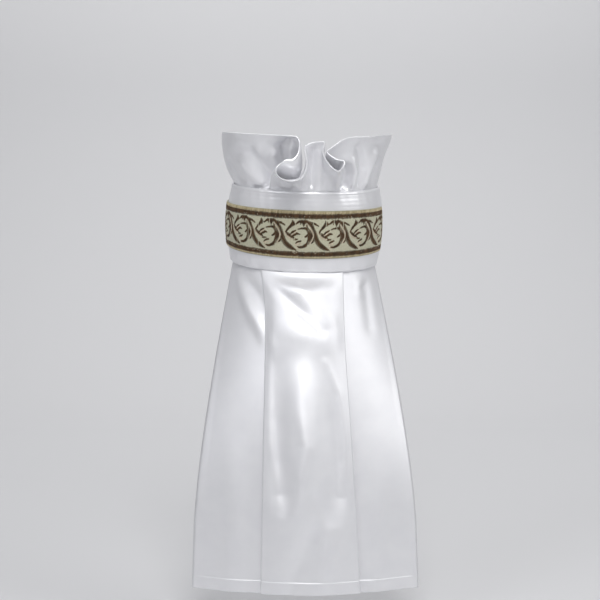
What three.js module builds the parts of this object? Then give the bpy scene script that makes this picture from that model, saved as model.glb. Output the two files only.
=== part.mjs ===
// A ready-tied stock tie as it sits on the neck: a barrelled satin neck band with a woven ribbon
// stitched round its front, a gathered satin frill standing out of the band's upper edge, a box-pleated
// satin bib hanging from its lower edge, and a hook-and-loop pad that closes the band at the nape.
// Millimetres, +Z up, -Y to the front. The origin is the middle of the neck opening, at half the band's
// height. Every soft piece is a closed wall with the thickness of its cloth.
import * as THREE from "three";

// Neck band: outer half-axes of the neck oval at half height, and the wall.
const BAND_HEIGHT = 59;
const BAND_HALF_WIDTH = 59;
const BAND_HALF_DEPTH = 56;
const BAND_WALL = 3;
const OUTER_PLY = 1.4;
const BAND_RIM = 0.5;
const PLY_RIM = 0.4;
const BARREL_DRAW_IN = 3.8;
const BARREL_POWER = 2.2;
const NECK_TILT = 9;
const NECK_ROLL = 1.5;
const GAP = 0.3;
const BAND_STEPS = 58;

// Hook-and-loop closure at the nape, where the right end laps over the left end.
const LAP_START = -180;
const LAP_END = 212;
const LAP_RAMP_FROM = 140;
const LAP_RAMP_TO = 176;
const PAD_THICKNESS = 1.5;
const PAD_HEIGHT = 40;
const PAD_MARGIN = 4;
const PAD_STEPS = 8;

// Woven ribbon: it ends at the sides, and bows up a little as it goes round them.
const RIBBON_TOP = 16.4;
const RIBBON_BOTTOM = -18.6;
const RIBBON_WALL = 1;
const RIBBON_LEFT_END = -97;
const RIBBON_RIGHT_END = 74;
const RIBBON_SIDE_BOW = 2.2;
const RIBBON_TOP_BOW_SHARE = 0.3;
const RIBBON_STEPS = 44;

// Frill: a strip folded double along its top edge, which is thicker where the cloth stands tall.
const FRILL_WALL = 1;
const FRILL_EDGE = 2;
const FRILL_TALL = [12, 28];
const FRILL_FOOT = 4.7;
const FRILL_FOOT_ROOM = 0.6;
const FOOT_SINK_SHARE = 0.25;
const FRILL_STEPS_PER_FOLD = 3;
const FRILL_LEVELS = [0, 0.09, 0.22, 0.4, 0.6, 0.8, 0.95, 1];

// Each line of the frill's cloth is a Bezier curve from the band to the free edge. Its lower point is
// lifted by a share of the edge's rise, less where the cloth runs sideways; its higher point lies most of
// the way up and over to the edge, and a belly pushes that point out and down.
const LOW_POINT = { mostShare: 0.6, least: 6.4, share: 0.28, extra: 3.2, swaySoftening: 20 };
const HIGH_POINT = { share: 0.75, extraShare: 0.3, extraMost: 6, toEdge: 0.55, swellShare: 0.5 };
const BELLY_DROP = 0.6;

// Bib: width along the cloth at the band, length below it, and the two pleats. Near the band each
// millimetre of length goes mostly down and a little forward, lower down it follows the chest.
const BIB_WALL = 1;
const BIB_LENGTH = 236;
const BIB_DROP = 0.55;
const BIB_FRONT_INSET = 3.2;
const BIB_SIDE_INSET = 1.6;
const BIB_START_FORWARD = 0.25;
const BIB_START_DOWN = 0.97;
const BIB_CHEST_DOWN = 0.95;
const BIB_SIDE_ANGLE = 82;
const BIB_TOP_CURVE_RADIUS = 52;
const BIB_SPREAD = 1.08;
const BIB_CHEST_RADIUS = 150;
const BIB_FLATTEN_LENGTH = 190;
const BIB_FLATTEN_POWER = 1.6;
const BIB_FORWARD_REACH = 60;
const BIB_FORWARD_LENGTH = 165;
const BIB_ROWS = 16;
const BIB_SIDE_STEPS = 6;
const TUCK_STEPS = 2;
const PANEL_STEPS = 10;
const FOLDS_SETTLE = 18;
const LAYERS_SETTLE = 15;
const HEM_HEIGHT = 9;
const HEM_EXTRA = 0.5;
const PLEAT_DEPTH = 14;
const LAYER_SPACING = 1.5;
const LAYER_SPACING_GROWTH = 0.7;
const CENTRE_PANEL_CROWN = 4.5;

const UP = new THREE.Vector3(0, 0, 1);
const rad = THREE.MathUtils.degToRad;
const lerp = THREE.MathUtils.lerp;
const smooth = (x, from, to) => THREE.MathUtils.smoothstep(x, from, to);
const halfHeight = BAND_HEIGHT / 2;

// A table with named columns: each row becomes an object with the columns' names.
function table(columns, rows) {
  return rows.map((row) => Object.fromEntries(columns.map((name, i) => [name, row[i]])));
}

// The frill's folds, in order round the neck from the picture's left to its right, angles in degrees from
// the front and positive to the right. base is where the fold grows out of the band, and edge where its
// free edge ends up. reach is how far the edge stands out from the band, rise how far above it, and puff
// how far the cloth swells outwards on the way up. sway and sink say how far the cloth runs sideways and
// in towards the neck low down, where a fold passes behind the next one, and belly how far it bulges
// outwards just below its free edge.
const FRILL_FOLDS = table(
  ["fold", "base", "edge", "reach", "rise", "puff", "sway", "sink", "belly"],
  [
    ["left end", -114, -114, 2, 9, 0, 0, 0, 0],
    ["left end rise", -107, -107, 5, 21, 4, 0, 0, 0],
    ["left corner", -98, -98, 7, 32, 10, 0, 0, 0],
    ["left flare side", -84, -82, 8, 38, 11, 0, 0, 0],
    ["left flare", -68, -60, 9, 39.5, 10, 0, 0, 0],
    ["left flare front", -54, -38, 9, 40, 7, 1, 0, 0],
    ["left crest", -49, -23, 10, 40.5, 4, 8, 2, 3],
    ["left hollow top", -43.5, -11, 10, 40, 0, 25, 7, -2],
    ["left turn top", -40.5, -7, 9.5, 39.5, 0, 35, 9, 1],
    ["left turn corner", -38.8, -5, 11, 35.5, 0, 38, 9, 2],
    ["left turn", -37, -5.8, 12.5, 29, 0, 41.5, 8, 10],
    ["left middle rise", -34.5, -8.5, 14, 24.8, 0, 34, 6, 16],
    ["left middle", -32.3, -13, 16, 23.6, 0, 10.5, 5.5, 15],
    ["left back turn", -30, -16.6, 20, 17.5, 0, 0, 2, 7],
    ["left lip start", -26.5, -13.8, 26, 12.3, 0, 0, -1, 0],
    ["left lip", -17, -8, 29, 10.3, 0, 0, 0, 0],
    ["left lip end", -9, -2.5, 26, 12.5, 0, 0, 0, 0],
    ["left wing", -5, 0, 17, 21, 0, 1, -1, 0],
    ["left wing top", -2, -1.6, 8, 32, 0, 1, -1.5, 0],
    ["centre left", 3, -0.5, 5, 34, 0, 0, 0, 0],
    ["centre", 8, 5, 4, 36, 0, 0, 0, 0],
    ["centre right", 13, 11.5, 4, 36, 0, 0, 0, 0],
    ["right wing top", 15, 9.5, 9, 31, 0, 0, 0, 0],
    ["right wing", 18, 10, 15, 25.5, 0, 0, 0, 0],
    ["right lip", 22, 12.5, 22, 20, 0, 0, 0, 0],
    ["right back turn", 26, 16.5, 21.5, 17, 0, 1, 0, 0],
    ["right tip", 27.3, 20, 18.5, 19.5, 0, -1, 2, 0],
    ["right middle rise", 28.5, 21.5, 16.5, 23.5, 0, -6, 4.5, 1],
    ["right middle", 31, 17, 14, 25, 0, -13, 6, 2],
    ["right turn", 33.5, 12.5, 10, 29.5, 0, -20, 8, 2],
    ["right turn top", 36, 16, 8, 32.5, 0, -18, 7, 1],
    ["right flare front", 39, 24, 8, 38.5, 0, -9, 4, 2],
    ["right ridge", 43, 31, 8, 40, 4, 0, 0, 0],
    ["right valley", 48, 37, 8, 40, 3, 0, 0, 0],
    ["right flare", 56, 47, 8, 40, 3, 0, 0, 0],
    ["right flare side", 72, 66, 8, 40, 4, 0, 0, 0],
    ["right corner", 88, 84, 8, 38, 3, 0, 0, 0],
    ["right end rise", 98, 97, 5, 24, 2, 0, 0, 0],
    ["right end", 107, 107, 2, 9, 0, 0, 0, 0],
  ],
);

// The centre panel at some distances below the band: where its middle is along the cloth, and its half
// width between the two folded edges.
const CENTRE_PANEL = table(
  ["down", "middle", "half"],
  [
    [0, -1.8, 29],
    [30, 0.2, 27.3],
    [62, 0.7, 27.2],
    [105, 1.7, 28.2],
    [236, 4, 30],
  ],
);

// Soft folds pressed into the bib. Each follows a path of points [across, down, proud]: the distance along
// the cloth from the middle, the distance below the band, and how far the fold stands out there, which is
// negative in a dip. width is how far to each side of the path it dies away, by FOLD_FALL_OFF.
const FOLD_FALL_OFF = 2.2;
const BIB_FOLDS = table(
  ["fold", "width", "path"],
  [
    ["bulge over the chest", 20, [[-15, 42, 1.4], [0, 46, 2], [13, 50, 1.4]]],
    ["ridge over the diagonal", 8, [[-17, 2, 0.6], [-4, 12, 1], [6, 24, 1], [17, 37, 0.7]]],
    ["valley under the diagonal", 8, [[-24, 9, -0.3], [-13, 20, -0.7], [-4, 32, -0.8], [9, 47, -0.6]]],
    ["left hollow", 9, [[-13, 64, 0], [-16.5, 90, -2], [-17.5, 116, -3], [-16, 152, -3.4], [-15, 196, 0]]],
    ["right hollow", 10, [[7, 66, 0], [9.5, 100, -1.4], [11, 135, -2.8], [15, 164, -3.4], [13, 200, 0]]],
    ["middle ridge", 7, [[-5, 80, 0.3], [-4, 108, 1.2], [-1.5, 132, 2], [-7, 156, 2.2], [-9, 184, 0.6]]],
    ["foot hollow", 7, [[-6, 210, -1.4], [0, 198, -2], [4.5, 184, -1]]],
    ["foot ridge", 7, [[3, 176, 0.6], [9.5, 190, 1.6], [7, 222, 1.4]]],
    ["left panel drag", 8, [[-57, 14, 1.4], [-43, 32, 2], [-29, 46, 1.6]]],
    ["left panel dip", 8, [[-50, 3, -0.6], [-40, 14, -1], [-30, 24, -0.8]]],
    ["right panel pucker", 6, [[43, 2, 1.4], [45, 16, 0.8]]],
    ["right panel dip", 8, [[53, 14, -1.2], [53, 44, -0.8]]],
    ["left hem wave", 14, [[-50, 120, 0], [-48, 176, 1.6], [-50, 236, 2.6]]],
    ["right hem wave", 14, [[46, 110, 0], [45, 176, 1.8], [42, 236, 2.8]]],
  ],
);

// How far the band's outer face draws in from its widest, at a height.
const drawIn = (z) => BARREL_DRAW_IN * Math.abs(z / halfHeight) ** BARREL_POWER;

// A point on the neck oval in the collar's own frame, out beyond the band's outer face.
function collarPoint(degrees, z, out = 0) {
  const angle = rad(degrees);
  const grow = out - drawIn(z);
  return new THREE.Vector3(
    (BAND_HALF_WIDTH + grow) * Math.sin(angle),
    -(BAND_HALF_DEPTH + grow) * Math.cos(angle),
    z,
  );
}

const outward = (degrees) => new THREE.Vector3(Math.sin(rad(degrees)), -Math.cos(rad(degrees)), 0);

// The collar leans forward with the neck and sits a little askew.
const collarTurn = new THREE.Euler(rad(NECK_TILT), rad(NECK_ROLL), 0);

// A closed geometry from points and triangles, turned the right way out.
function closedGeometry(points, triangles) {
  let volume = 0;
  for (const [a, b, c] of triangles) {
    volume += points[a].dot(new THREE.Vector3().crossVectors(points[b], points[c]));
  }
  const index = triangles.flatMap(([a, b, c]) => (volume < 0 ? [a, c, b] : [a, b, c]));
  const geometry = new THREE.BufferGeometry().setFromPoints(points);
  geometry.setIndex(index);
  geometry.computeVertexNormals();
  return geometry;
}

// A wall of cloth from a grid of points on its middle surface: grid[row][column], and its thickness there.
function clothWall(grid, thickness) {
  const rows = grid.length;
  const columns = grid[0].length;
  const points = [];
  const triangles = [];
  const at = (i, j) => grid[THREE.MathUtils.clamp(i, 0, rows - 1)][THREE.MathUtils.clamp(j, 0, columns - 1)];
  for (const side of [0.5, -0.5]) {
    for (let i = 0; i < rows; i++) {
      for (let j = 0; j < columns; j++) {
        const along = new THREE.Vector3().subVectors(at(i, j + 1), at(i, j - 1));
        const down = new THREE.Vector3().subVectors(at(i + 1, j), at(i - 1, j));
        const normal = along.cross(down).normalize();
        points.push(grid[i][j].clone().addScaledVector(normal, side * thickness(i, j)));
      }
    }
  }
  const front = (i, j) => i * columns + j;
  const back = (i, j) => rows * columns + front(i, j);
  const quad = (a, b, c, d) => triangles.push([a, b, c], [a, c, d]);
  for (let i = 0; i + 1 < rows; i++) {
    for (let j = 0; j + 1 < columns; j++) {
      quad(front(i, j), front(i, j + 1), front(i + 1, j + 1), front(i + 1, j));
      quad(back(i, j), back(i + 1, j), back(i + 1, j + 1), back(i, j + 1));
    }
    quad(front(i, 0), front(i + 1, 0), back(i + 1, 0), back(i, 0));
    const last = columns - 1;
    quad(front(i, last), back(i, last), back(i + 1, last), front(i + 1, last));
  }
  for (let j = 0; j + 1 < columns; j++) {
    quad(front(0, j), back(0, j), back(0, j + 1), front(0, j + 1));
    const last = rows - 1;
    quad(front(last, j), front(last, j + 1), back(last, j + 1), back(last, j));
  }
  return closedGeometry(points, triangles);
}

// A strip that goes round the neck: section(degrees) gives its closed outline as points of the collar.
function roundTheNeck(from, to, steps, section) {
  const points = [];
  const triangles = [];
  const count = section(from).length;
  for (let i = 0; i <= steps; i++) {
    points.push(...section(lerp(from, to, i / steps)));
  }
  const corner = (i, j) => i * count + (j % count);
  for (let i = 0; i < steps; i++) {
    for (let j = 0; j < count; j++) {
      triangles.push([corner(i, j), corner(i + 1, j), corner(i + 1, j + 1)]);
      triangles.push([corner(i, j), corner(i + 1, j + 1), corner(i, j + 1)]);
    }
  }
  // Each end is flat in its own radial plane, where a point is its distance out and its height.
  for (const [ring, angle, flip] of [[0, from, false], [steps, to, true]]) {
    const radial = outward(angle);
    const outline = points
      .slice(ring * count, (ring + 1) * count)
      .map((p) => new THREE.Vector2(p.dot(radial), p.z));
    for (const [a, b, c] of THREE.ShapeUtils.triangulateShape(outline, [])) {
      const face = [corner(ring, a), corner(ring, b), corner(ring, c)];
      triangles.push(flip ? face.reverse() : face);
    }
  }
  return closedGeometry(points, endsFacingOut(triangles));
}

// Turns the end triangles so that each shared edge is run both ways, as a closed surface needs.
function endsFacingOut(triangles) {
  const used = new Set();
  return triangles.map((face) => {
    const edges = (f) => [[f[0], f[1]], [f[1], f[2]], [f[2], f[0]]].map((e) => e.join());
    const turned = edges(face).some((e) => used.has(e)) ? [face[0], face[2], face[1]] : face;
    edges(turned).forEach((e) => used.add(e));
    return turned;
  });
}

// How far the lapping end stands off the band, so that it passes over the other end and the pad.
const lapOffset = (degrees) =>
  smooth(degrees, LAP_RAMP_FROM, LAP_RAMP_TO) * (BAND_WALL + PAD_THICKNESS + 2 * GAP);

// The band: outer face barrelled, inner face parallel to it. The lining stops short of the upper edge,
// which leaves a ledge behind the outer ply where the frill's foot is tucked in.
function neckBand() {
  const ledge = halfHeight - FRILL_FOOT - FRILL_FOOT_ROOM;
  const heights = [-halfHeight + BAND_RIM, -20, -10, 0, 10, 20, halfHeight - BAND_RIM];
  const section = (degrees) => {
    const lap = lapOffset(degrees);
    const at = (z, depth) => collarPoint(degrees, z, lap - depth);
    return [
      ...heights.map((z) => at(z, 0)),
      at(halfHeight, PLY_RIM),
      at(halfHeight, OUTER_PLY - PLY_RIM),
      at(halfHeight - BAND_RIM, OUTER_PLY),
      at(ledge, OUTER_PLY),
      at(ledge, BAND_WALL),
      ...[10, 0, -10, -20].map((z) => at(z, BAND_WALL)),
      at(-halfHeight + BAND_RIM, BAND_WALL),
      at(-halfHeight, BAND_WALL - BAND_RIM),
      at(-halfHeight, BAND_RIM),
    ];
  };
  return roundTheNeck(LAP_START, LAP_END, BAND_STEPS, section);
}

// The ribbon lies on the band's outer face.
function wovenRibbon() {
  const section = (degrees) => {
    const bow = RIBBON_SIDE_BOW * (degrees / 90) ** 2;
    const low = RIBBON_BOTTOM + bow;
    const high = RIBBON_TOP - RIBBON_TOP_BOW_SHARE * bow;
    const heights = [0, 0.25, 0.5, 0.75, 1].map((share) => lerp(low, high, share));
    const outer = heights.map((z) => collarPoint(degrees, z, GAP + RIBBON_WALL));
    const inner = heights.map((z) => collarPoint(degrees, z, GAP)).reverse();
    return [...outer, ...inner];
  };
  return roundTheNeck(RIBBON_LEFT_END, RIBBON_RIGHT_END, RIBBON_STEPS, section);
}

// The hook-and-loop pad between the two lapped ends.
function fasteningPad() {
  const from = LAP_START + PAD_MARGIN;
  const to = LAP_END - 360 - PAD_MARGIN;
  const heights = [-0.5, -0.25, 0, 0.25, 0.5].map((share) => share * PAD_HEIGHT);
  const section = (degrees) => {
    const outer = heights.map((z) => collarPoint(degrees, z, GAP + PAD_THICKNESS));
    const inner = heights.map((z) => collarPoint(degrees, z, GAP)).reverse();
    return [...outer, ...inner];
  };
  return roundTheNeck(from, to, PAD_STEPS, section);
}

// The frill: its foot is a plain ring tucked behind the band's outer ply, its edge follows the fold
// table, and each line of cloth between them is one Bezier curve.
function frill() {
  const footDepth = OUTER_PLY + GAP + FRILL_WALL / 2;
  const curve = (points) => new THREE.CatmullRomCurve3(points, false, "catmullrom", 0.5);
  const baseLine = curve(FRILL_FOLDS.map((f) => new THREE.Vector3(f.base, f.puff, f.belly)));
  const passLine = curve(FRILL_FOLDS.map((f) => new THREE.Vector3(f.sway, f.sink, f.edge)));
  const edgeLine = curve(
    FRILL_FOLDS.map((f) =>
      collarPoint(f.edge, halfHeight).addScaledVector(outward(f.edge), f.reach).addScaledVector(UP, f.rise),
    ),
  );
  const steps = (FRILL_FOLDS.length - 1) * FRILL_STEPS_PER_FOLD;
  const lines = [];
  for (let j = 0; j <= steps; j++) {
    const { x: base, y: puff, z: belly } = baseLine.getPoint(j / steps);
    const { x: sway, y: sink, z: edgeAngle } = passLine.getPoint(j / steps);
    const edge = edgeLine.getPoint(j / steps);
    const depth = footDepth + FOOT_SINK_SHARE * Math.max(0, sink);
    const start = collarPoint(base, halfHeight, -depth);
    const foot = collarPoint(base, halfHeight - FRILL_FOOT, -depth);
    const rise = edge.z - halfHeight;
    const swell = outward(base).multiplyScalar(puff);
    const passing = collarPoint(base + sway, halfHeight, -footDepth - sink);
    const softened = 1 + Math.abs(sway) / LOW_POINT.swaySoftening;
    const lifted = Math.max(LOW_POINT.least, LOW_POINT.share * rise + LOW_POINT.extra) / softened;
    const low = passing
      .clone()
      .addScaledVector(UP, Math.min(LOW_POINT.mostShare * rise, lifted))
      .add(swell);
    const extra = Math.min(HIGH_POINT.extraMost, HIGH_POINT.extraShare * rise);
    const high = passing
      .addScaledVector(UP, HIGH_POINT.share * rise + extra)
      .lerp(edge, HIGH_POINT.toEdge)
      .addScaledVector(swell, HIGH_POINT.swellShare)
      .addScaledVector(outward(edgeAngle), belly)
      .addScaledVector(UP, -BELLY_DROP * belly);
    const line = new THREE.CubicBezierCurve3(start, low, high, edge);
    lines.push([foot, ...FRILL_LEVELS.map((level) => line.getPoint(level))]);
  }
  const rows = lines[0].map((_, i) => lines.map((line) => line[i]));
  const beforeLast = rows.length - 2;
  const tall = lines.map((line) => smooth(line[1].distanceTo(line[beforeLast]), ...FRILL_TALL));
  return clothWall(rows, (i, j) => (i === beforeLast ? lerp(FRILL_WALL, FRILL_EDGE, tall[j]) : FRILL_WALL));
}

const degreesAlong = (across) => THREE.MathUtils.radToDeg(across / BIB_TOP_CURVE_RADIUS);

// The bib's back layer: it leaves the band's curve and flattens on to the chest as it goes down.
function bibSurface(across, down) {
  const degrees = degreesAlong(across);
  const sideShare = Math.min(1, Math.abs(degrees) / BIB_SIDE_ANGLE);
  const inset = lerp(BIB_FRONT_INSET, BIB_SIDE_INSET, sideShare ** 3);
  const ring = collarPoint(degrees, -halfHeight, -inset)
    .addScaledVector(UP, -BIB_DROP)
    .applyEuler(collarTurn);
  const top = collarPoint(0, -halfHeight, -BIB_FRONT_INSET).applyEuler(collarTurn);
  ring.y -= BIB_START_FORWARD * down;
  ring.z -= BIB_START_DOWN * down;
  const spread = lerp(1, BIB_SPREAD, down / BIB_LENGTH);
  const forward = BIB_FORWARD_REACH * (1 - Math.exp(-down / BIB_FORWARD_LENGTH));
  const chest = new THREE.Vector3(
    across * spread,
    top.y - forward + across ** 2 / (2 * BIB_CHEST_RADIUS),
    top.z - BIB_CHEST_DOWN * down,
  );
  const flatten = 1 - (1 - Math.min(1, down / BIB_FLATTEN_LENGTH)) ** BIB_FLATTEN_POWER;
  return ring.lerp(chest, flatten);
}

// How far along the line from one point to the next a place lies, and how far off it.
function besideLine([across, down], [a0, d0], [a1, d1]) {
  const [ea, ed] = [a1 - a0, d1 - d0];
  const t = THREE.MathUtils.clamp(((across - a0) * ea + (down - d0) * ed) / (ea * ea + ed * ed), 0, 1);
  return { t, off: Math.hypot(across - a0 - t * ea, down - d0 - t * ed) };
}

// How proud the soft folds stand at a place on the cloth: each acts from the nearest point of its path.
function foldHeight(across, down) {
  let height = 0;
  for (const { width, path } of BIB_FOLDS) {
    let nearest = { off: Infinity, proud: 0 };
    for (let i = 0; i + 1 < path.length; i++) {
      const { t, off } = besideLine([across, down], path[i], path[i + 1]);
      if (off < nearest.off) {
        nearest = { off, proud: lerp(path[i][2], path[i + 1][2], t) };
      }
    }
    height += nearest.proud * Math.exp(-FOLD_FALL_OFF * (nearest.off / width) ** 2);
  }
  return height;
}

// The centre panel's middle and half width at one level, between the rows of its table.
function centrePanel(down) {
  const last = CENTRE_PANEL.length - 1;
  const next = CENTRE_PANEL.findIndex((row, i) => i > 0 && (down <= row.down || i === last));
  const [a, b] = [CENTRE_PANEL[next - 1], CENTRE_PANEL[next]];
  const t = (down - a.down) / (b.down - a.down);
  return { middle: lerp(a.middle, b.middle, t), half: lerp(a.half, b.half, t) };
}

// The run of cloth across the bib at one level: places along the cloth, and how far out each stands.
// From the left edge it goes in under the centre panel, folds back out, folds again over the front, and
// does the same in reverse on the right.
function pleatedRun(down) {
  const share = down / BIB_LENGTH;
  const side = rad(BIB_SIDE_ANGLE) * BIB_TOP_CURVE_RADIUS;
  const { middle, half: panel } = centrePanel(down);
  const tuck = panel - PLEAT_DEPTH;
  const spacing = LAYER_SPACING + LAYER_SPACING_GROWTH * share;
  const round = spacing / 2;
  const run = (from, to, layer, steps) =>
    Array.from({ length: steps + 1 }, (_, i) => {
      return { across: lerp(from, to, i / steps), out: layer * spacing, layer };
    });
  const turn = (place, layer, way) =>
    [45, 90, 135].map((a) => ({
      across: place + way * round * Math.sin(rad(a)),
      out: (layer + 0.5) * spacing - round * Math.cos(rad(a)),
      layer: layer + 0.5,
    }));
  const left = [
    ...run(-side, -panel, 0, BIB_SIDE_STEPS),
    ...run(-panel, -tuck, 0, TUCK_STEPS).slice(1),
    ...turn(-tuck, 0, 1),
    ...run(-tuck, -panel, 1, TUCK_STEPS),
    ...turn(-panel, 1, -1),
  ];
  const right = left.map((p) => ({ ...p, across: -p.across })).reverse();
  return [...left, ...run(-panel, panel, 2, PANEL_STEPS), ...right].map((p) => {
    const onPanel = p.layer === 2 ? 1 - (p.across / panel) ** 2 : 0;
    const onSide = p.layer === 0 ? smooth(Math.abs(p.across), panel - 2, panel + 8) : 0;
    const settle = smooth(down, 0, FOLDS_SETTLE);
    const crown = CENTRE_PANEL_CROWN * onPanel;
    const folds = foldHeight(p.across, down) * Math.min(1, 2.5 * onPanel + onSide);
    const drift = middle * (1 - (p.across / side) ** 2);
    return { across: p.across + drift, out: p.out + settle * (crown + folds) };
  });
}

// The bib: at every level the pleated run is laid on the back layer's surface. The layers stand off
// straight out from the neck at the band, and off the cloth's own face lower down.
function bib() {
  const hemTop = BIB_LENGTH - HEM_HEIGHT;
  const downs = Array.from({ length: BIB_ROWS }, (_, i) => hemTop * (i / (BIB_ROWS - 1)));
  downs.push(hemTop + 1, BIB_LENGTH);
  const reach = 0.5;
  const grid = downs.map((down) =>
    pleatedRun(down).map(({ across, out }) => {
      const here = bibSurface(across, down);
      const along = bibSurface(across + reach, down).sub(bibSurface(across - reach, down));
      const below = bibSurface(across, down + reach).sub(bibSurface(across, down));
      const front = below.cross(along).normalize();
      const fromBand = outward(degreesAlong(across)).applyEuler(collarTurn);
      const facing = fromBand.lerp(front, smooth(down, 0, LAYERS_SETTLE)).normalize();
      return here.addScaledVector(facing, out);
    }),
  );
  const hemFrom = downs.length - 2;
  return clothWall(grid, (i) => (i >= hemFrom ? BIB_WALL + HEM_EXTRA : BIB_WALL));
}

const SATIN = { color: 0xf4f3f5, roughness: 0.32, metalness: 0 };
const WOVEN = { color: 0xb3a582, roughness: 0.6, metalness: 0.1 };
const NYLON = { color: 0xe9e8e6, roughness: 0.85, metalness: 0 };

function piece(name, geometry, finish) {
  const mesh = new THREE.Mesh(geometry, new THREE.MeshStandardMaterial(finish));
  mesh.name = name;
  return mesh;
}

const stockTie = new THREE.Group();
const collar = new THREE.Group();
collar.rotation.copy(collarTurn);
collar.add(
  piece("neck_band", neckBand(), SATIN),
  piece("woven_ribbon", wovenRibbon(), WOVEN),
  piece("frill", frill(), SATIN),
  piece("fastening_pad", fasteningPad(), NYLON),
);
stockTie.add(collar, piece("bib", bib(), SATIN));

export default stockTie;
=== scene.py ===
# %% [markdown]
# A ready-tied stock tie: a satin band round the neck with a woven ribbon on it, a gathered frill above
# and a box-pleated bib below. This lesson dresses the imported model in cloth. The model's solids are
# plain walls; here each one gets its hems, tucks, gathers, weave and stitches, in the same place.
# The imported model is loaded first, because its bodies carry every piece that follows.

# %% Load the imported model
import math
import bpy
import numpy as np
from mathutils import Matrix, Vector


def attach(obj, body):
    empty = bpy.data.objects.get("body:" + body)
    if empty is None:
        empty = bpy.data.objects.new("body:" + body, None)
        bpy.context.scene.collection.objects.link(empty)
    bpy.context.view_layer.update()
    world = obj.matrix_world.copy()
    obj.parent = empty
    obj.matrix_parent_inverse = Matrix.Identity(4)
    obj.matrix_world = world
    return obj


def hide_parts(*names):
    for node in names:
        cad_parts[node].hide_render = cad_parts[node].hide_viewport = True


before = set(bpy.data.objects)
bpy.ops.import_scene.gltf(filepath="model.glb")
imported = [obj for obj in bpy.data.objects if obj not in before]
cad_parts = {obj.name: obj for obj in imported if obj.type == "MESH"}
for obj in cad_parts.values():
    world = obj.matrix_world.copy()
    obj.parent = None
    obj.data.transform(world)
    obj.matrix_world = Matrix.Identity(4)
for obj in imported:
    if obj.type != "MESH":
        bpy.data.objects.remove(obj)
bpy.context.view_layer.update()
scene = bpy.context.scene
MM = 0.001

# %% [markdown]
# The camera stands a metre in front of the tie, a little above its middle line of sight, and looks two
# degrees down. A photograph taken from that near shows the sides of the band falling away, so the
# distance matters as much as the angle. It is worked out from one driving size: how many millimetres
# a pixel covers at the neck's own distance.

# %% Camera
PICTURE_PIXELS = 600
MM_PER_PIXEL = 0.76
VIEW_DISTANCE = 1000
VIEW_DOWN = math.radians(2)
NECK_PIXEL = (304.8, 223)

sideways = np.array([1.0, 0.0, 0.0])
forwards = np.array([0.0, math.cos(VIEW_DOWN), -math.sin(VIEW_DOWN)])
upwards = np.cross(sideways, forwards)
half_frame = PICTURE_PIXELS / 2
neck_right = (NECK_PIXEL[0] - half_frame) * MM_PER_PIXEL
neck_up = (half_frame - NECK_PIXEL[1]) * MM_PER_PIXEL
eye = -(forwards * VIEW_DISTANCE + sideways * neck_right + upwards * neck_up)


def put_in_scene(name, data):
    thing = bpy.data.objects.new(name, data)
    scene.collection.objects.link(thing)
    return thing


lens = bpy.data.cameras.new("view")
lens.angle = 2 * math.atan(half_frame * MM_PER_PIXEL / VIEW_DISTANCE)
lens.clip_start = 0.05
camera = put_in_scene("view", lens)
camera.location = Vector(eye) * MM
camera.rotation_euler = (math.pi / 2 - VIEW_DOWN, 0, 0)
scene.camera = camera
print("camera at", [round(x, 3) for x in camera.location])

# %% [markdown]
# White satin shows its shape only through its reflections. A big soft light high in front gives the
# broad highlights, and lets the folds' undersides fall into grey. A weaker one from the right and a
# faint cool one from the left keep the turned-away folds from going black, and a last one brightens
# the pale sweep of floor and wall behind.

# %% Lights
def soft_light(name, place, aim, size, power, tint=(1, 1, 1)):
    data = bpy.data.lights.new(name, "AREA")
    data.shape = "RECTANGLE"
    data.size, data.size_y = size
    data.energy = power
    data.color = tint
    light = put_in_scene(name, data)
    light.location = place
    light.rotation_euler = (Vector(aim) - Vector(place)).to_track_quat("-Z", "Y").to_euler()


soft_light("key", (0.08, -1.24, 0.95), (0, -0.05, -0.1), (0.65, 0.85), 12.3)
soft_light("side", (1.0, -0.45, 0.5), (0, 0, 0.05), (0.5, 0.7), 2.6)
soft_light("fill", (-0.75, -0.85, 0.6), (0, 0, 0.02), (0.45, 0.5), 1.8, (0.95, 0.96, 1))
soft_light("wash", (0, 0.95, 1.3), (0, 1.4, -0.2), (1.8, 0.7), 11)

WORLD_COLOUR = (0.93, 0.94, 0.97, 1)
WORLD_STRENGTH = 0.33
world = bpy.data.worlds.new("studio")
world.use_nodes = True
sky = world.node_tree.nodes["Background"]
sky.inputs["Color"].default_value = WORLD_COLOUR
sky.inputs["Strength"].default_value = WORLD_STRENGTH
scene.world = world
scene.view_settings.view_transform = "Standard"
print("four soft lights")

# %% [markdown]
# A floor that curves up into a wall has no corner to distract the eye. It is one strip: a flat run, a
# quarter circle, and a wall.

# %% Floor sweep
FLOOR_Z = -0.285
SWEEP_HALF_WIDTH = 5
SWEEP_FRONT = -5
SWEEP_BACK = 1.6
SWEEP_RADIUS = 0.6
SWEEP_TOP = 1.9
SWEEP_ARC_STEPS = 16


def new_material(name, values):
    """A material whose shader has these values on its own sockets."""
    material = bpy.data.materials.new(name)
    material.use_nodes = True
    shader = material.node_tree.nodes["Principled BSDF"]
    for socket, value in values.items():
        shader.inputs[socket].default_value = value
    return material


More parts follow.
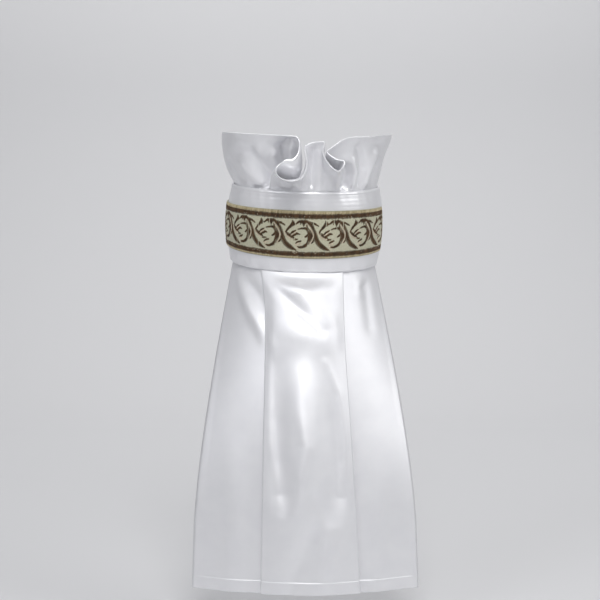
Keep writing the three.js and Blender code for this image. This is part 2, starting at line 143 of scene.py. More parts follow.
def floor_sweep():
    profile = [(SWEEP_FRONT, FLOOR_Z), (SWEEP_BACK - SWEEP_RADIUS, FLOOR_Z)]
    for step in range(1, SWEEP_ARC_STEPS + 1):
        angle = math.pi / 2 * step / SWEEP_ARC_STEPS
        y = SWEEP_BACK - SWEEP_RADIUS + SWEEP_RADIUS * math.sin(angle)
        z = FLOOR_Z + SWEEP_RADIUS * (1 - math.cos(angle))
        profile.append((y, z))
    profile.append((SWEEP_BACK, SWEEP_TOP))
    points = [(x, y, z) for y, z in profile for x in (-SWEEP_HALF_WIDTH, SWEEP_HALF_WIDTH)]
    faces = [(2 * i, 2 * i + 1, 2 * i + 3, 2 * i + 2) for i in range(len(profile) - 1)]
    mesh = bpy.data.meshes.new("floor_sweep")
    mesh.from_pydata(points, [], faces)
    mesh.polygons.foreach_set("use_smooth", [True] * len(faces))
    mesh.materials.append(new_material("pale floor", {"Base Color": (0.7, 0.7, 0.71, 1), "Roughness": 0.8}))
    sweep = put_in_scene("floor_sweep", mesh)
    return sweep


print("floor sweep with", len(floor_sweep().data.polygons), "faces")

# %% [markdown]
# A material or a group of nodes is easiest to read as a table: its parts, then its wires. A few small
# helpers turn such tables into nodes. A wire is written "part.Output > part.Input", with a number where
# sockets share a name, and a group's own inputs and outputs are its parts "in" and "out".

# %% Node tables
def new_tree(name, kind, inputs, outputs):
    """An empty node group; each input is its first number, or the name of another kind of socket."""
    tree = bpy.data.node_groups.new(name, kind)
    for title, value in inputs.items():
        is_number = not isinstance(value, str)
        socket = tree.interface.new_socket(
            name=title, in_out="INPUT", socket_type="NodeSocket" + ("Float" if is_number else value)
        )
        if is_number:
            socket.default_value = value
    for title, value in outputs.items():
        tree.interface.new_socket(name=title, in_out="OUTPUT", socket_type="NodeSocket" + value)
    tree.nodes.new("NodeGroupInput").name = "in"
    tree.nodes.new("NodeGroupOutput").name = "out"
    return tree


def socket_of(tree, place, side):
    """The socket that "part.Name" stands for; a socket stands for itself."""
    if not isinstance(place, str):
        return place
    part, name = place.split(".")
    return getattr(tree.nodes[part], side)[int(name) if name.isdigit() else name]


def join(tree, start, end):
    tree.links.new(socket_of(tree, start, "outputs"), socket_of(tree, end, "inputs"))


def add_nodes(tree, parts, wires):
    """Adds a table of parts and wires. In a part's values a capital marks an input, else a setting."""
    for name, (kind, values) in parts.items():
        node = tree.nodes.new(kind)
        node.name = name
        for key, value in values.items():
            if key[0].isupper():
                node.inputs[key].default_value = value
            else:
                setattr(node, key, value)
    for wire in wires:
        join(tree, *wire.split(" > "))


def math_node(tree, operation, first, second=None):
    node = tree.nodes.new("ShaderNodeMath")
    node.operation = operation
    for slot_number, value in enumerate((first, second)):
        if isinstance(value, (int, float)):
            node.inputs[slot_number].default_value = value
        elif value is not None:
            join(tree, value, node.inputs[slot_number])
    return node.outputs[0]


def middle_to(low, high):
    """A part that goes from low to high as its Value goes over the middle of its range."""
    return ("ShaderNodeMapRange", {"From Min": 0.3, "From Max": 0.7, "To Min": low, "To Max": high})


def blend_of(one, other):
    """A part that mixes two colours by its Factor."""
    return ("ShaderNodeMix", {"data_type": "RGBA", "A": (*one, 1), "B": (*other, 1)})


print("a blend is made by", blend_of((0, 0, 0), (1, 1, 1))[0])

# %% [markdown]
# Satin is woven so that long threads lie on top, side by side. They share one direction, so the cloth
# shines across them and looks silky. Two effects carry that: an anisotropic gloss along the cloth's own
# direction, and very fine threads in the bump. Both read the cloth's UV map, which runs in centimetres
# along the weave. The thread effect is a node group, because the ribbon's ground uses it too.

# %% Thread effect
def thread_group():
    group = new_tree("woven threads", "ShaderNodeTree", {"Along": 8, "Across": 60},
                     {"Height": "Float", "Cloudiness": "Float"})
    add_nodes(group, {
        "cloth": ("ShaderNodeUVMap", {"uv_map": "cloth"}),
        "counts": ("ShaderNodeCombineXYZ", {"Z": 1}),
        "stretched": ("ShaderNodeVectorMath", {"operation": "MULTIPLY"}),
        "threads": ("ShaderNodeTexNoise", {"Scale": 1, "Detail": 2}),
        "clouds": ("ShaderNodeTexNoise", {"Scale": 0.7, "Detail": 3}),
    }, [
        "in.Along > counts.X",
        "in.Across > counts.Y",
        "cloth.UV > stretched.0",
        "counts.Vector > stretched.1",
        "stretched.Vector > threads.Vector",
        "cloth.UV > clouds.Vector",
        "threads.Fac > out.Height",
        "clouds.Fac > out.Cloudiness",
    ])
    return group


THREADS = thread_group()
print("thread effect with", len(THREADS.nodes), "nodes")

# %% [markdown]
# The satin is one recipe with two sets of numbers: a colour that drifts between two near shades, a
# roughness that the threads vary a little, the threads again as bump, and a gloss that is partly
# metallic, because silky threads mirror more than plain cloth does. The bib's satin is a little
# rougher, or its broad panel would show the lamp as a glare. Its two shades are also a little darker
# than the band's and the frill's, though all three are the same white satin: that darkening is
# painted shade. Numbers that are the same all over are set straight on the shader.

# %% Satin
SATIN_THREADS_ALONG, SATIN_THREADS_ACROSS = 6, 70
SATIN_RELIEF = {"Strength": 0.1, "Distance": 0.0001}
SATIN_ANISOTROPY = 0.5
SATIN_SHEEN = 0.05


def satin_material(name, shades, gloss, metallic):
    material = new_material(
        name, {"Anisotropic": SATIN_ANISOTROPY, "Metallic": metallic, "Sheen Weight": SATIN_SHEEN}
    )
    counts = {"Along": SATIN_THREADS_ALONG, "Across": SATIN_THREADS_ACROSS}
    add_nodes(material.node_tree, {
        "threads": ("ShaderNodeGroup", {"node_tree": THREADS, **counts}),
        "patches": middle_to(0, 1),
        "shade": blend_of(*shades),
        "gloss": middle_to(*gloss),
        "relief": ("ShaderNodeBump", SATIN_RELIEF),
        "grain": ("ShaderNodeTangent", {"direction_type": "UV_MAP", "uv_map": "cloth"}),
    }, [
        "threads.Cloudiness > patches.Value",
        "patches.Result > shade.Factor",
        "shade.Result > Principled BSDF.Base Color",
        "threads.Height > gloss.Value",
        "gloss.Result > Principled BSDF.Roughness",
        "threads.Height > relief.Height",
        "relief.Normal > Principled BSDF.Normal",
        "grain.Tangent > Principled BSDF.Tangent",
    ])
    return material


SATIN = satin_material("white satin", [(0.88, 0.88, 0.9), (0.85, 0.85, 0.872)], (0.28, 0.34), 0.4)
# The bib's copy is rougher, and its shades are a little darker as painted shade.
SOFT_SHADED_SATIN = satin_material("soft white satin with painted shade", [(0.86, 0.86, 0.88), (0.83, 0.83, 0.855)], (0.4, 0.46), 0.45)
print("materials:", SATIN.name, "and", SOFT_SHADED_SATIN.name)

# %% [markdown]
# Everything is set against the neck. The band is an oval tube that draws in a little towards its upper
# and lower edges, leaning forward as a neck does. One function gives a point on it from an angle, a
# height and a distance out, in millimetres, and another turns such points into the model's frame.

# %% The neck oval
BAND_HEIGHT = 59
HALF_HEIGHT = BAND_HEIGHT / 2
BAND_HALF_WIDTH = 59
BAND_HALF_DEPTH = 56
BAND_WALL = 3
BARREL_DRAW_IN = 3.8
BARREL_POWER = 2.2
NECK_TILT = math.radians(9)
NECK_ROLL = math.radians(1.5)
GAP = 0.3

roll = np.array([
    [math.cos(NECK_ROLL), 0, math.sin(NECK_ROLL)],
    [0, 1, 0],
    [-math.sin(NECK_ROLL), 0, math.cos(NECK_ROLL)],
])
tilt = np.array([
    [1, 0, 0],
    [0, math.cos(NECK_TILT), -math.sin(NECK_TILT)],
    [0, math.sin(NECK_TILT), math.cos(NECK_TILT)],
])
collar_turn = tilt @ roll


def vectors(x, y, z):
    """Points from coordinates that may be numbers or arrays."""
    return np.stack(np.broadcast_arrays(x, y, z), axis=-1).astype(float)


def collar_point(degrees, z, out=0.0):
    """Points on the band's outer face, or out beyond it; 0 degrees is the front."""
    angle = np.radians(degrees)
    grow = out - BARREL_DRAW_IN * np.abs(z / HALF_HEIGHT) ** BARREL_POWER
    return vectors(
        (BAND_HALF_WIDTH + grow) * np.sin(angle), -(BAND_HALF_DEPTH + grow) * np.cos(angle), z
    )


def outward(degrees):
    return vectors(np.sin(np.radians(degrees)), -np.cos(np.radians(degrees)), 0.0)


def as_worn(points):
    """Collar points turned into the model's frame."""
    return points @ collar_turn.T


print("the band's front is at", as_worn(collar_point(0, 0)).round(1).tolist(), "mm")

# %% [markdown]
# A ribbon or a row of gathers is measured in millimetres along the band, not in degrees, and on an oval
# the two don't keep step. The arc is added up once in small steps, and looked up either way round.

# %% Distances round the band
ARC_STEP = 0.5

arc_degrees = np.arange(-240.0, 240.0 + ARC_STEP, ARC_STEP)
arc_middles = np.radians(arc_degrees[:-1] + ARC_STEP / 2)
arc_steps = np.radians(ARC_STEP) * np.hypot(
    BAND_HALF_WIDTH * np.cos(arc_middles), BAND_HALF_DEPTH * np.sin(arc_middles)
)
arc_lengths = np.concatenate([[0], np.cumsum(arc_steps)])
arc_lengths -= np.interp(0, arc_degrees, arc_lengths)


def degrees_at(length):
    """The angle at a distance along the band from its front."""
    return np.interp(length, arc_lengths, arc_degrees)


def length_at(degrees):
    return np.interp(degrees, arc_degrees, arc_lengths)


print("round the band:", round(float(length_at(180) - length_at(-180))), "mm")

# %% [markdown]
# Three measures come back in every piece: a share that eases in between two places, the direction that
# cloth faces, and the distance along it.

# %% Measures of cloth
def smooth_step(x, start, end):
    t = np.clip((np.asarray(x, float) - start) / (end - start), 0, 1)
    return t * t * (3 - 2 * t)


def grid_normals(grid):
    along = np.gradient(grid, axis=1)
    down = np.gradient(grid, axis=0)
    normal = np.cross(along, down)
    return normal / np.maximum(np.linalg.norm(normal, axis=-1, keepdims=True), 1e-9)


def run_along(points, axis=0):
    """Distances from the start along a line of points, or along each line of a grid."""
    steps = np.linalg.norm(np.diff(points, axis=axis), axis=-1)
    return np.insert(np.cumsum(steps, axis=axis), 0, 0, axis=axis)


print("half way, a smooth step is at", float(smooth_step(1, 0, 2)))

# %% [markdown]
# A piece is one mesh of quads with its UV map, in centimetres along the cloth. Its faces have to point
# outwards. A closed form has a positive volume if they do, so the volume tells when to turn them.

# %% Closed pieces
def volume_of(points, quads):
    a, b, c, d = (points[quads[:, i]] for i in range(4))
    return float((a * np.cross(b, c)).sum() + (a * np.cross(c, d)).sum()) / 6


def mesh_piece(name, points, quads, uv, material, ends=()):
    """A closed piece from points in millimetres, with its outside facing out.

    It is made of quads, and of end faces with as many corners as the outline has."""
    quads = np.asarray(quads, int)
    if volume_of(points, quads) < 0:
        quads = quads[:, ::-1]
        ends = [end[::-1] for end in ends]
    faces = quads.tolist() + [list(map(int, end)) for end in ends]
    corners = np.concatenate([quads.ravel(), *ends]).astype(int)
    mesh = bpy.data.meshes.new(name)
    mesh.from_pydata((points * MM).tolist(), [], faces)
    mesh.polygons.foreach_set("use_smooth", [True] * len(quads) + [False] * len(ends))
    layer = mesh.uv_layers.new(name="cloth")
    layer.data.foreach_set("uv", (uv[corners] / 10).astype(np.float32).ravel())
    mesh.materials.append(material)
    mesh.update()
    print(f"{name}: {2 * len(quads)} triangles")
    return put_in_scene(name, mesh)


corner_points = np.array([(0, 0, 0), (1, 0, 0), (1, 1, 0), (0, 0, 1)])
corner_quads = np.array([(0, 2, 1, 0), (0, 1, 3, 0), (1, 2, 3, 1), (0, 3, 2, 0)])
print("volume of a corner of a cube:", round(volume_of(corner_points, corner_quads), 3))

# %% [markdown]
# Cloth is made as a shell: a grid of points down the middle of the cloth, pushed half the thickness to
# each side and closed round the rim. A Solidify modifier would do the same, but here the thickness
# changes from place to place, which is what a rolled edge or a turned hem is.

# %% Cloth shells
def shell_quads(rows, columns):
    """The quads of a shell: its front and back grids and the four rims."""
    index = np.arange(rows * columns).reshape(rows, columns)
    back = index + rows * columns

    def patch(*corners):
        return np.stack([corner.ravel() for corner in corners], axis=1)

    return np.concatenate([
        patch(index[:-1, :-1], index[:-1, 1:], index[1:, 1:], index[1:, :-1]),
        patch(back[:-1, :-1], back[1:, :-1], back[1:, 1:], back[:-1, 1:]),
        patch(index[:-1, 0], index[1:, 0], back[1:, 0], back[:-1, 0]),
        patch(index[:-1, -1], back[:-1, -1], back[1:, -1], index[1:, -1]),
        patch(index[0, :-1], back[0, :-1], back[0, 1:], index[0, 1:]),
        patch(index[-1, :-1], index[-1, 1:], back[-1, 1:], back[-1, :-1]),
    ])


def cloth_shell(name, grid, thickness, uv, material):
    rows, columns = grid.shape[:2]
    half = grid_normals(grid) * (np.broadcast_to(thickness, (rows, columns))[..., None] / 2)
    points = np.concatenate([(grid + half).reshape(-1, 3), (grid - half).reshape(-1, 3)])
    flat = uv.reshape(-1, 2)
    return mesh_piece(name, points, shell_quads(rows, columns), np.concatenate([flat, flat]), material)


def rounded(distance, thickness, edge_radius):
    """Thickness near an edge, which closes it in a half circle."""
    reach = np.clip(distance / edge_radius, 0, 1)
    return thickness * np.sqrt(np.clip(1 - (1 - reach) ** 2, 0.02, 1))


print("the smallest shell has", len(shell_quads(2, 2)), "faces")

# %% [markdown]
# The band is a closed strip swept round the neck oval. Its outline is drawn once, in height and in
# distance from the outer face, and tells how a real band is sewn: a plump turned edge at the top and
# the bottom, a groove just inside each, and faint tuck lines in the satin above the ribbon. Below the
# ribbon the satin is eased over its stiffening, so it waves gently. Behind the outer ply the lining
# stops short, which leaves the ledge where the frill is sewn in.

# %% The band's outline
OUTER_PLY = 1.4
FRILL_FOOT = 4.7
OUTER_STEP, LINING_STEP = 0.55, 3.5
TOP_TURN, BOTTOM_TURN = 0.7, 0.6
LEDGE_CLEARANCE = 0.6
EDGE_PLUMP, PLUMP_INSET, PLUMP_HALF_WIDTH = 0.35, 1.6, 1.3
TUCKS = [
    # height, depth, half width
    (27.2, 0.22, 0.5),
    (24.4, 0.05, 0.7),
    (21.6, 0.04, 0.7),
    (18.6, 0.05, 0.6),
    (-27.0, 0.12, 0.8),
]


def outer_relief(z):
    """How proud of the plain band its outer face stands at a height."""
    plump = EDGE_PLUMP * np.exp(-(((HALF_HEIGHT - PLUMP_INSET - np.abs(z)) / PLUMP_HALF_WIDTH) ** 2))
    return plump - sum(depth * math.exp(-(((z - at) / half) ** 2)) for at, depth, half in TUCKS)


def band_outline():
    """Height and depth of the band's section, round from the lower outer edge."""
    outer = np.arange(-HALF_HEIGHT + 1, HALF_HEIGHT - 0.9, OUTER_STEP)
    ledge = HALF_HEIGHT - FRILL_FOOT - LEDGE_CLEARANCE
    outline = [(z, -outer_relief(z)) for z in outer]
    for angle in np.radians([18, 40, 65, 90, 115, 140, 165]):
        outline.append((
            HALF_HEIGHT - TOP_TURN + TOP_TURN * math.sin(angle),
            OUTER_PLY / 2 * (1 - math.cos(angle)) - 0.1,
        ))
    outline += [(HALF_HEIGHT - 1.5, OUTER_PLY), (ledge, OUTER_PLY), (ledge - 0.3, OUTER_PLY + 0.4)]
    outline += [(ledge, BAND_WALL - 0.4), (ledge - 0.4, BAND_WALL)]
    outline += [(z, BAND_WALL) for z in np.arange(ledge - 3, -HALF_HEIGHT + 1, -LINING_STEP)]
    for angle in np.radians([0, 30, 60, 90, 120, 150]):
        outline.append((
            -HALF_HEIGHT + BOTTOM_TURN - BOTTOM_TURN * math.sin(angle),
            BAND_WALL / 2 * (1 + math.cos(angle)) - 0.2,
        ))
    return np.array(outline)


print("the band's outline has", len(band_outline()), "points")

# %% [markdown]
# The outline is carried round the oval. The right-hand end laps over the left-hand one at the nape, with
# room for the closing pad between them, so past the side the band steps out by degrees. Only the outer
# face gets the waves, and the two ends are single faces with as many corners as the outline.

# %% Neck band
LAP_START, LAP_END = -180, 212
LAP_RAMP = (140, 176)
PAD_THICKNESS = 1.5
BAND_STEPS = 420
LOWER_WAVE, LOWER_WAVE_LENGTH = 0.32, 19
LOWER_WAVE_ZONE = (19.5, 26)
WAVE_WANDER, WAVE_WANDER_LENGTH = 2, 31
EASE, EASE_LENGTH = 0.1, 8.5


def lap_offset(degrees):
    """How far the lapping end stands off, to pass over the other end and the pad."""
    return smooth_step(degrees, *LAP_RAMP) * (BAND_WALL + PAD_THICKNESS + 2 * GAP)


def neck_band():
    outline = band_outline()
    degrees = np.linspace(LAP_START, LAP_END, BAND_STEPS + 1)
    z = np.broadcast_to(outline[:, 0], (len(degrees), len(outline)))
    depth = np.broadcast_to(outline[:, 1], z.shape)
    angle = degrees[:, None]
    along = length_at(angle)
    wander = WAVE_WANDER * np.sin(along / WAVE_WANDER_LENGTH)
    lower = smooth_step(-z, *LOWER_WAVE_ZONE) * np.sin(2 * math.pi * along / LOWER_WAVE_LENGTH + wander)
    ease = np.sin(2 * math.pi * along / EASE_LENGTH + z / 6) * np.sin(along / 23 + z / 9)
    waves = (LOWER_WAVE * lower + EASE * ease) * (depth < OUTER_PLY / 2)
    points = collar_point(angle, z, lap_offset(angle) - depth + waves)
    index = np.arange(z.size).reshape(z.shape)
    beside = np.roll(index, -1, axis=1)
    quads = np.stack([index[:-1], index[1:], beside[1:], beside[:-1]], axis=-1).reshape(-1, 4)
    ends = [index[0], index[-1][::-1]]
    uv = np.stack(np.broadcast_arrays(along, run_along(outline)), axis=-1).reshape(-1, 2)
    return mesh_piece("satin_band", as_worn(points.reshape(-1, 3)), quads, uv, SATIN, ends)


band = neck_band()
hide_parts("neck_band")
print("the band laps over", LAP_END - 180, "degrees")

# %% [markdown]
# The frill is what makes the tie. It is a strip folded double, gathered into the band, and its free
# edge wanders: flared on the left, folded back on itself twice, standing up in the middle, folded
# again and flared on the right. Simulated cloth would find folds of its own. These folds have their
# places, so each gets a row in a table: where it leaves the band, where its edge goes, how far out and
# how far up. Smooth curves join the rows, and a Bezier curve carries the cloth from band to edge.

# %% The frill's folds
FRILL_WALL = 0.9
FRILL_ROLL = 1.2
FRILL_FOLDS = [
    # fold, base and edge in degrees, reach, rise, puff, sway in degrees, sink, belly, rolled edge
    ("left end", -114, -114, 2, 9, 0, 0, 0, 0, 0),
    ("left end rise", -107, -107, 5, 21, 4, 0, 0, 0, 0),
    ("left corner", -98, -98, 7, 32, 10, 0, 0, 0, 0),
    ("left flare side", -84, -82, 8, 38, 11, 0, 0, 0, 0),
    ("left flare", -68, -60, 9, 39.5, 10, 0, 0, 0, 0),
    ("left flare front", -54, -38, 9, 40, 7, 1, 0, 0, 0),
    ("left crest", -49, -23, 10, 40.5, 4, 8, 2, 3, 0),
    ("left hollow top", -43.5, -11, 10, 40, 0, 25, 7, -2, 0.2),
    ("left turn top", -40.5, -7, 9.5, 39.5, 0, 35, 9, 1, 0.5),
    ("left turn corner", -38.8, -5, 11, 35.5, 0, 38, 9, 2, 0.8),
    ("left turn", -37, -5.8, 12.5, 29, 0, 41.5, 8, 10, 1),
    ("left middle rise", -34.5, -8.5, 14, 24.8, 0, 34, 6, 16, 1),
    ("left middle", -32.3, -13, 16, 23.6, 0, 10.5, 5.5, 15, 1),
    ("left back turn", -30, -16.6, 20, 17.5, 0, 0, 2, 7, 1),
    ("left lip start", -26.5, -13.8, 26, 12.3, 0, 0, -1, 0, 1),
    ("left lip", -17, -8, 29, 10.3, 0, 0, 0, 0, 1),
    ("left lip end", -9, -2.5, 26, 12.5, 0, 0, 0, 0, 1),
    ("left wing", -5, 0, 17, 21, 0, 1, -1, 0, 1),
    ("left wing top", -2, -1.6, 8, 32, 0, 1, -1.5, 0, 0.7),
    ("centre left", 3, -0.5, 5, 34, 0, 0, 0, 0, 0.2),
    ("centre", 8, 5, 4, 36, 0, 0, 0, 0, 0),
    ("centre right", 13, 11.5, 4, 36, 0, 0, 0, 0, 0.3),
    ("right wing top", 15, 9.5, 9, 31, 0, 0, 0, 0, 1),
    ("right wing", 18, 10, 15, 25.5, 0, 0, 0, 0, 1),
    ("right lip", 22, 12.5, 22, 20, 0, 0, 0, 0, 0.8),
    ("right back turn", 26, 16.5, 21.5, 17, 0, 1, 0, 0, 0.2),
    ("right tip", 27.3, 20, 18.5, 19.5, 0, -1, 2, 0, 0),
    ("right middle rise", 28.5, 21.5, 16.5, 23.5, 0, -6, 4.5, 1, 0.2),
    ("right middle", 31, 17, 14, 25, 0, -13, 6, 2, 1),
    ("right turn", 33.5, 12.5, 10, 29.5, 0, -20, 8, 2, 1),
    ("right turn top", 36, 16, 8, 32.5, 0, -18, 7, 1, 0.6),
    ("right flare front", 39, 24, 8, 38.5, 0, -9, 4, 2, 0),
    ("right ridge", 43, 31, 8, 40, 4, 0, 0, 0, 0),
    ("right valley", 48, 37, 8, 40, 3, 0, 0, 0, 0),
    ("right flare", 56, 47, 8, 40, 3, 0, 0, 0, 0),
    ("right flare side", 72, 66, 8, 40, 4, 0, 0, 0, 0),
    ("right corner", 88, 84, 8, 38, 3, 0, 0, 0, 0),
    ("right end rise", 98, 97, 5, 24, 2, 0, 0, 0, 0),
    ("right end", 107, 107, 2, 9, 0, 0, 0, 0, 0),
]
print(len(FRILL_FOLDS), "folds")

# %% [markdown]
# A Catmull-Rom curve passes through every row of the table, so the edge goes exactly where the table
# says. From the band the cloth first stands up, then leans over to its edge, which is what the two
# arms of the Bezier curve say: each is as long as the cloth keeps its direction.

# %% The frill's lines of cloth
FRILL_STEPS = 9
BEZIER_SAMPLES = 60
FOOT_SINK_SHARE = 0.25
LOWER_ARM_LEAST, LOWER_ARM, LOWER_ARM_SHARE, LOWER_ARM_MOST_SHARE = 6.4, 3.2, 0.28, 0.6
SWAY_SHORTENING = 20
UPPER_ARM_SHARE, UPPER_ARM_MORE, UPPER_ARM_MORE_SHARE = 0.75, 6, 0.3
UPPER_ARM_LEAN, UPPER_ARM_PUFF = 0.55, 0.5
BELLY_DROP = 0.6


def smooth_rows(values, steps):
    """A Catmull-Rom curve through the rows of a table, with that many steps between rows."""
    values = np.asarray(values, float)
    padded = np.concatenate([[2 * values[0] - values[1]], values, [2 * values[-1] - values[-2]]])
    pieces = []
    for i in range(len(values) - 1):
        t = np.linspace(0, 1, steps, endpoint=False)[:, None]
        a, b, c, d = padded[i : i + 4]
        pieces.append(
            0.5 * (2 * b + (c - a) * t + (2 * a - 5 * b + 4 * c - d) * t**2 + (3 * b - a - 3 * c + d) * t**3)
        )
    return np.concatenate([*pieces, values[-1:]])


def at_lengths(line, wanted):
    """Points at given distances along a polyline."""
    run = run_along(line)
    return np.stack([np.interp(wanted, run, line[:, k]) for k in range(3)], axis=1)


def frill_lines():
    """The frill's lines of cloth from the foot to the free edge, as dense polylines."""
    table = np.array([row[1:] for row in FRILL_FOLDS], float)
    base, edge, reach, rise, puff, sway, sink, belly, bead = table.T
    edges = collar_point(edge, HALF_HEIGHT) + outward(edge) * reach[:, None]
    edges[:, 2] += rise
    edges = smooth_rows(edges, FRILL_STEPS)
    rest = np.stack([base, edge, puff, sway, sink, belly, bead], axis=1)
    base, edge, puff, sway, sink, belly, bead = smooth_rows(rest, FRILL_STEPS).T
    rise = edges[:, 2] - HALF_HEIGHT
    up = np.array([0.0, 0.0, 1.0])
    foot_depth = OUTER_PLY + GAP + FRILL_WALL / 2
    depth = foot_depth + FOOT_SINK_SHARE * np.maximum(0, sink)
    start = collar_point(base, HALF_HEIGHT, -depth)
    foot = collar_point(base, HALF_HEIGHT - FRILL_FOOT, -depth)
    passing = collar_point(base + sway, HALF_HEIGHT, -foot_depth - sink)
    swell = outward(base) * puff[:, None]
    lower_arm = np.maximum(LOWER_ARM_LEAST, LOWER_ARM_SHARE * rise + LOWER_ARM)
    lower_arm = np.minimum(LOWER_ARM_MOST_SHARE * rise, lower_arm / (1 + np.abs(sway) / SWAY_SHORTENING))
    upper_arm = UPPER_ARM_SHARE * rise + np.minimum(UPPER_ARM_MORE, UPPER_ARM_MORE_SHARE * rise)
    low = passing + up * lower_arm[:, None] + swell
    high = passing + up * upper_arm[:, None]
    high = high + (edges - high) * UPPER_ARM_LEAN + swell * UPPER_ARM_PUFF
    high = high + (outward(edge) - up * BELLY_DROP) * belly[:, None]
    t = np.linspace(0, 1, BEZIER_SAMPLES)[None, :, None]
    bezier = (
        start[:, None] * (1 - t) ** 3
        + 3 * low[:, None] * (1 - t) ** 2 * t
        + 3 * high[:, None] * (1 - t) * t**2
        + edges[:, None] * t**3
    )
    return base, bead, np.concatenate([foot[:, None], bezier], axis=1)


print("frill lines:", frill_lines()[2].shape)

# %% [markdown]
# Between the big folds the cloth is never smooth: low ridges and dips run from the gathers to the edge.
# They are a second table, in degrees round the neck and millimetres above the band, and each one acts
# only on the lines of cloth that it belongs to, or it would dent the layer behind as well.

# %% The frill's soft folds
FRILL_RELIEF = [
    # soft fold, first and last line of the table it lies on, places (degrees, height), width, proud
    ("left flare ridge", 0, 7, [(-42, 27), (-35, 17), (-29, 5)], 4, 3.4),
    ("left flare dip", 0, 7, [(-26, 27), (-24, 13), (-24, 4)], 2.8, -3.4),
    ("left flare side dip", 0, 7, [(-52, 18), (-42, 5)], 4.5, -2.6),
    ("left flare back ridge", 0, 7, [(-70, 16), (-60, 3)], 5, 2),
    ("left flare upper dip", 0, 7, [(-52, 34), (-38, 28)], 6, -1.8),
    ("left foot pleat", 0, 7, [(-33, 1), (-30, 7)], 1.4, 1.4),
    ("conch ridge", 3, 10, [(-20, 14), (-21, 24), (-19.5, 32), (-14, 37)], 2, 3.2),
    ("conch dish", 5, 10, [(-13, 22), (-12, 32)], 3.6, -2.6),
    ("lip hollow", 13, 17, [(-18, 5), (-5, 4)], 3, -1.4),
    ("lip foot pleat", 14, 18, [(-11, 1), (-9, 8)], 1.6, 1.2),
    ("centre left crease", 16, 20, [(-1, 30), (0, 3)], 1.6, -1.5),
    ("centre ridge", 16, 24, [(5, 31), (4, 3)], 2.6, 2.0),
    ("centre right dip", 18, 22, [(10.5, 28), (10.5, 3)], 2.2, -0.9),
    ("right crease beside the lip", 23, 27, [(20.5, 15), (23.5, 10), (25.4, 1)], 1.8, -2.2),
    ("right crease beside the curl", 29, 34, [(28.5, 19.5), (28.5, 13.6), (28.5, 1)], 1.7, -0.8),
    ("right curl", 28, 35, [(31.7, 18.5), (35, 12), (34, 3)], 3.6, 4.2),
    ("right curl edge", 28, 36, [(30, 23), (36.7, 22), (40, 17), (41, 9), (41.8, 2)], 1.9, -2.8),
    ("right flare ridge", 28, 36, [(39.2, 31), (44, 24), (47.5, 14), (46, 3)], 3.8, 2.8),
    ("right flare dip", 29, 37, [(59, 26), (54, 12), (52, 3)], 4.2, -2.8),
    ("right flare swell", 29, 37, [(48, 35), (62, 33)], 7, 0.8),
    ("right side ridge", 29, 37, [(63, 16), (59, 2)], 3.4, 2.6),
]


def beside_segment(x, y, start, end):
    """Where places lie beside a straight stretch: their share of it from its start, and how far off."""
    run_x, run_y = end[0] - start[0], end[1] - start[1]
    share = np.clip(((x - start[0]) * run_x + (y - start[1]) * run_y) / (run_x * run_x + run_y * run_y), 0, 1)
    return share, np.hypot(x - start[0] - share * run_x, y - start[1] - share * run_y)


def along_path(degrees, heights, path, width):
    """How near places on the cloth are to a path, from 0 far off to 1 on it."""
    nearest = np.full(degrees.shape, np.inf)
    for start, end in zip(path[:-1], path[1:]):
        nearest = np.minimum(nearest, beside_segment(degrees, heights, start, end)[1])
    return np.exp(-((nearest / width) ** 2))


def frill_relief(grid):
    """How far the soft folds push each place on the frill outwards."""
    seen = np.degrees(np.arctan2(grid[..., 0], -grid[..., 1]))
    heights = grid[..., 2] - HALF_HEIGHT
    line = np.broadcast_to(np.arange(grid.shape[1]) / FRILL_STEPS, seen.shape)
    push = np.zeros(seen.shape)
    for fold, first, last, path, width, proud in FRILL_RELIEF:
        here = smooth_step(line, first - 0.5, first + 0.5) * (1 - smooth_step(line, last - 0.5, last + 0.5))
        push += proud * here * along_path(seen, heights, path, width)
    return push


print(len(FRILL_RELIEF), "soft folds")

# %% [markdown]
# The rows of the grid are spaced by distance from the free edge, because the rolled edge has to be
# equally thick along every fold. Tiny puckers gather the cloth where it enters the band.

# %% Frill
FRILL_BODY_ROWS = 22
ROLL_ROWS = [3.4, 2.7, 2.2, 1.9, 1.55, 1.15, 0.75, 0.4, 0.15, 0.03]
PUCKER_PITCH, PUCKER_DEPTH, PUCKER_FADE = 3.7, 0.12, 6.5
PUCKER_WANDER, PUCKER_WANDER_LENGTH = 1.3, 7
RELIEF_FROM_FOOT, RELIEF_FROM_EDGE = (0.5, 6.5), (0.5, 5)
ROLL_FROM_EDGE, SOFT_ROLL_LENGTH, ROLL_RADIUS = (1.5, 2.3), 3, 1.1


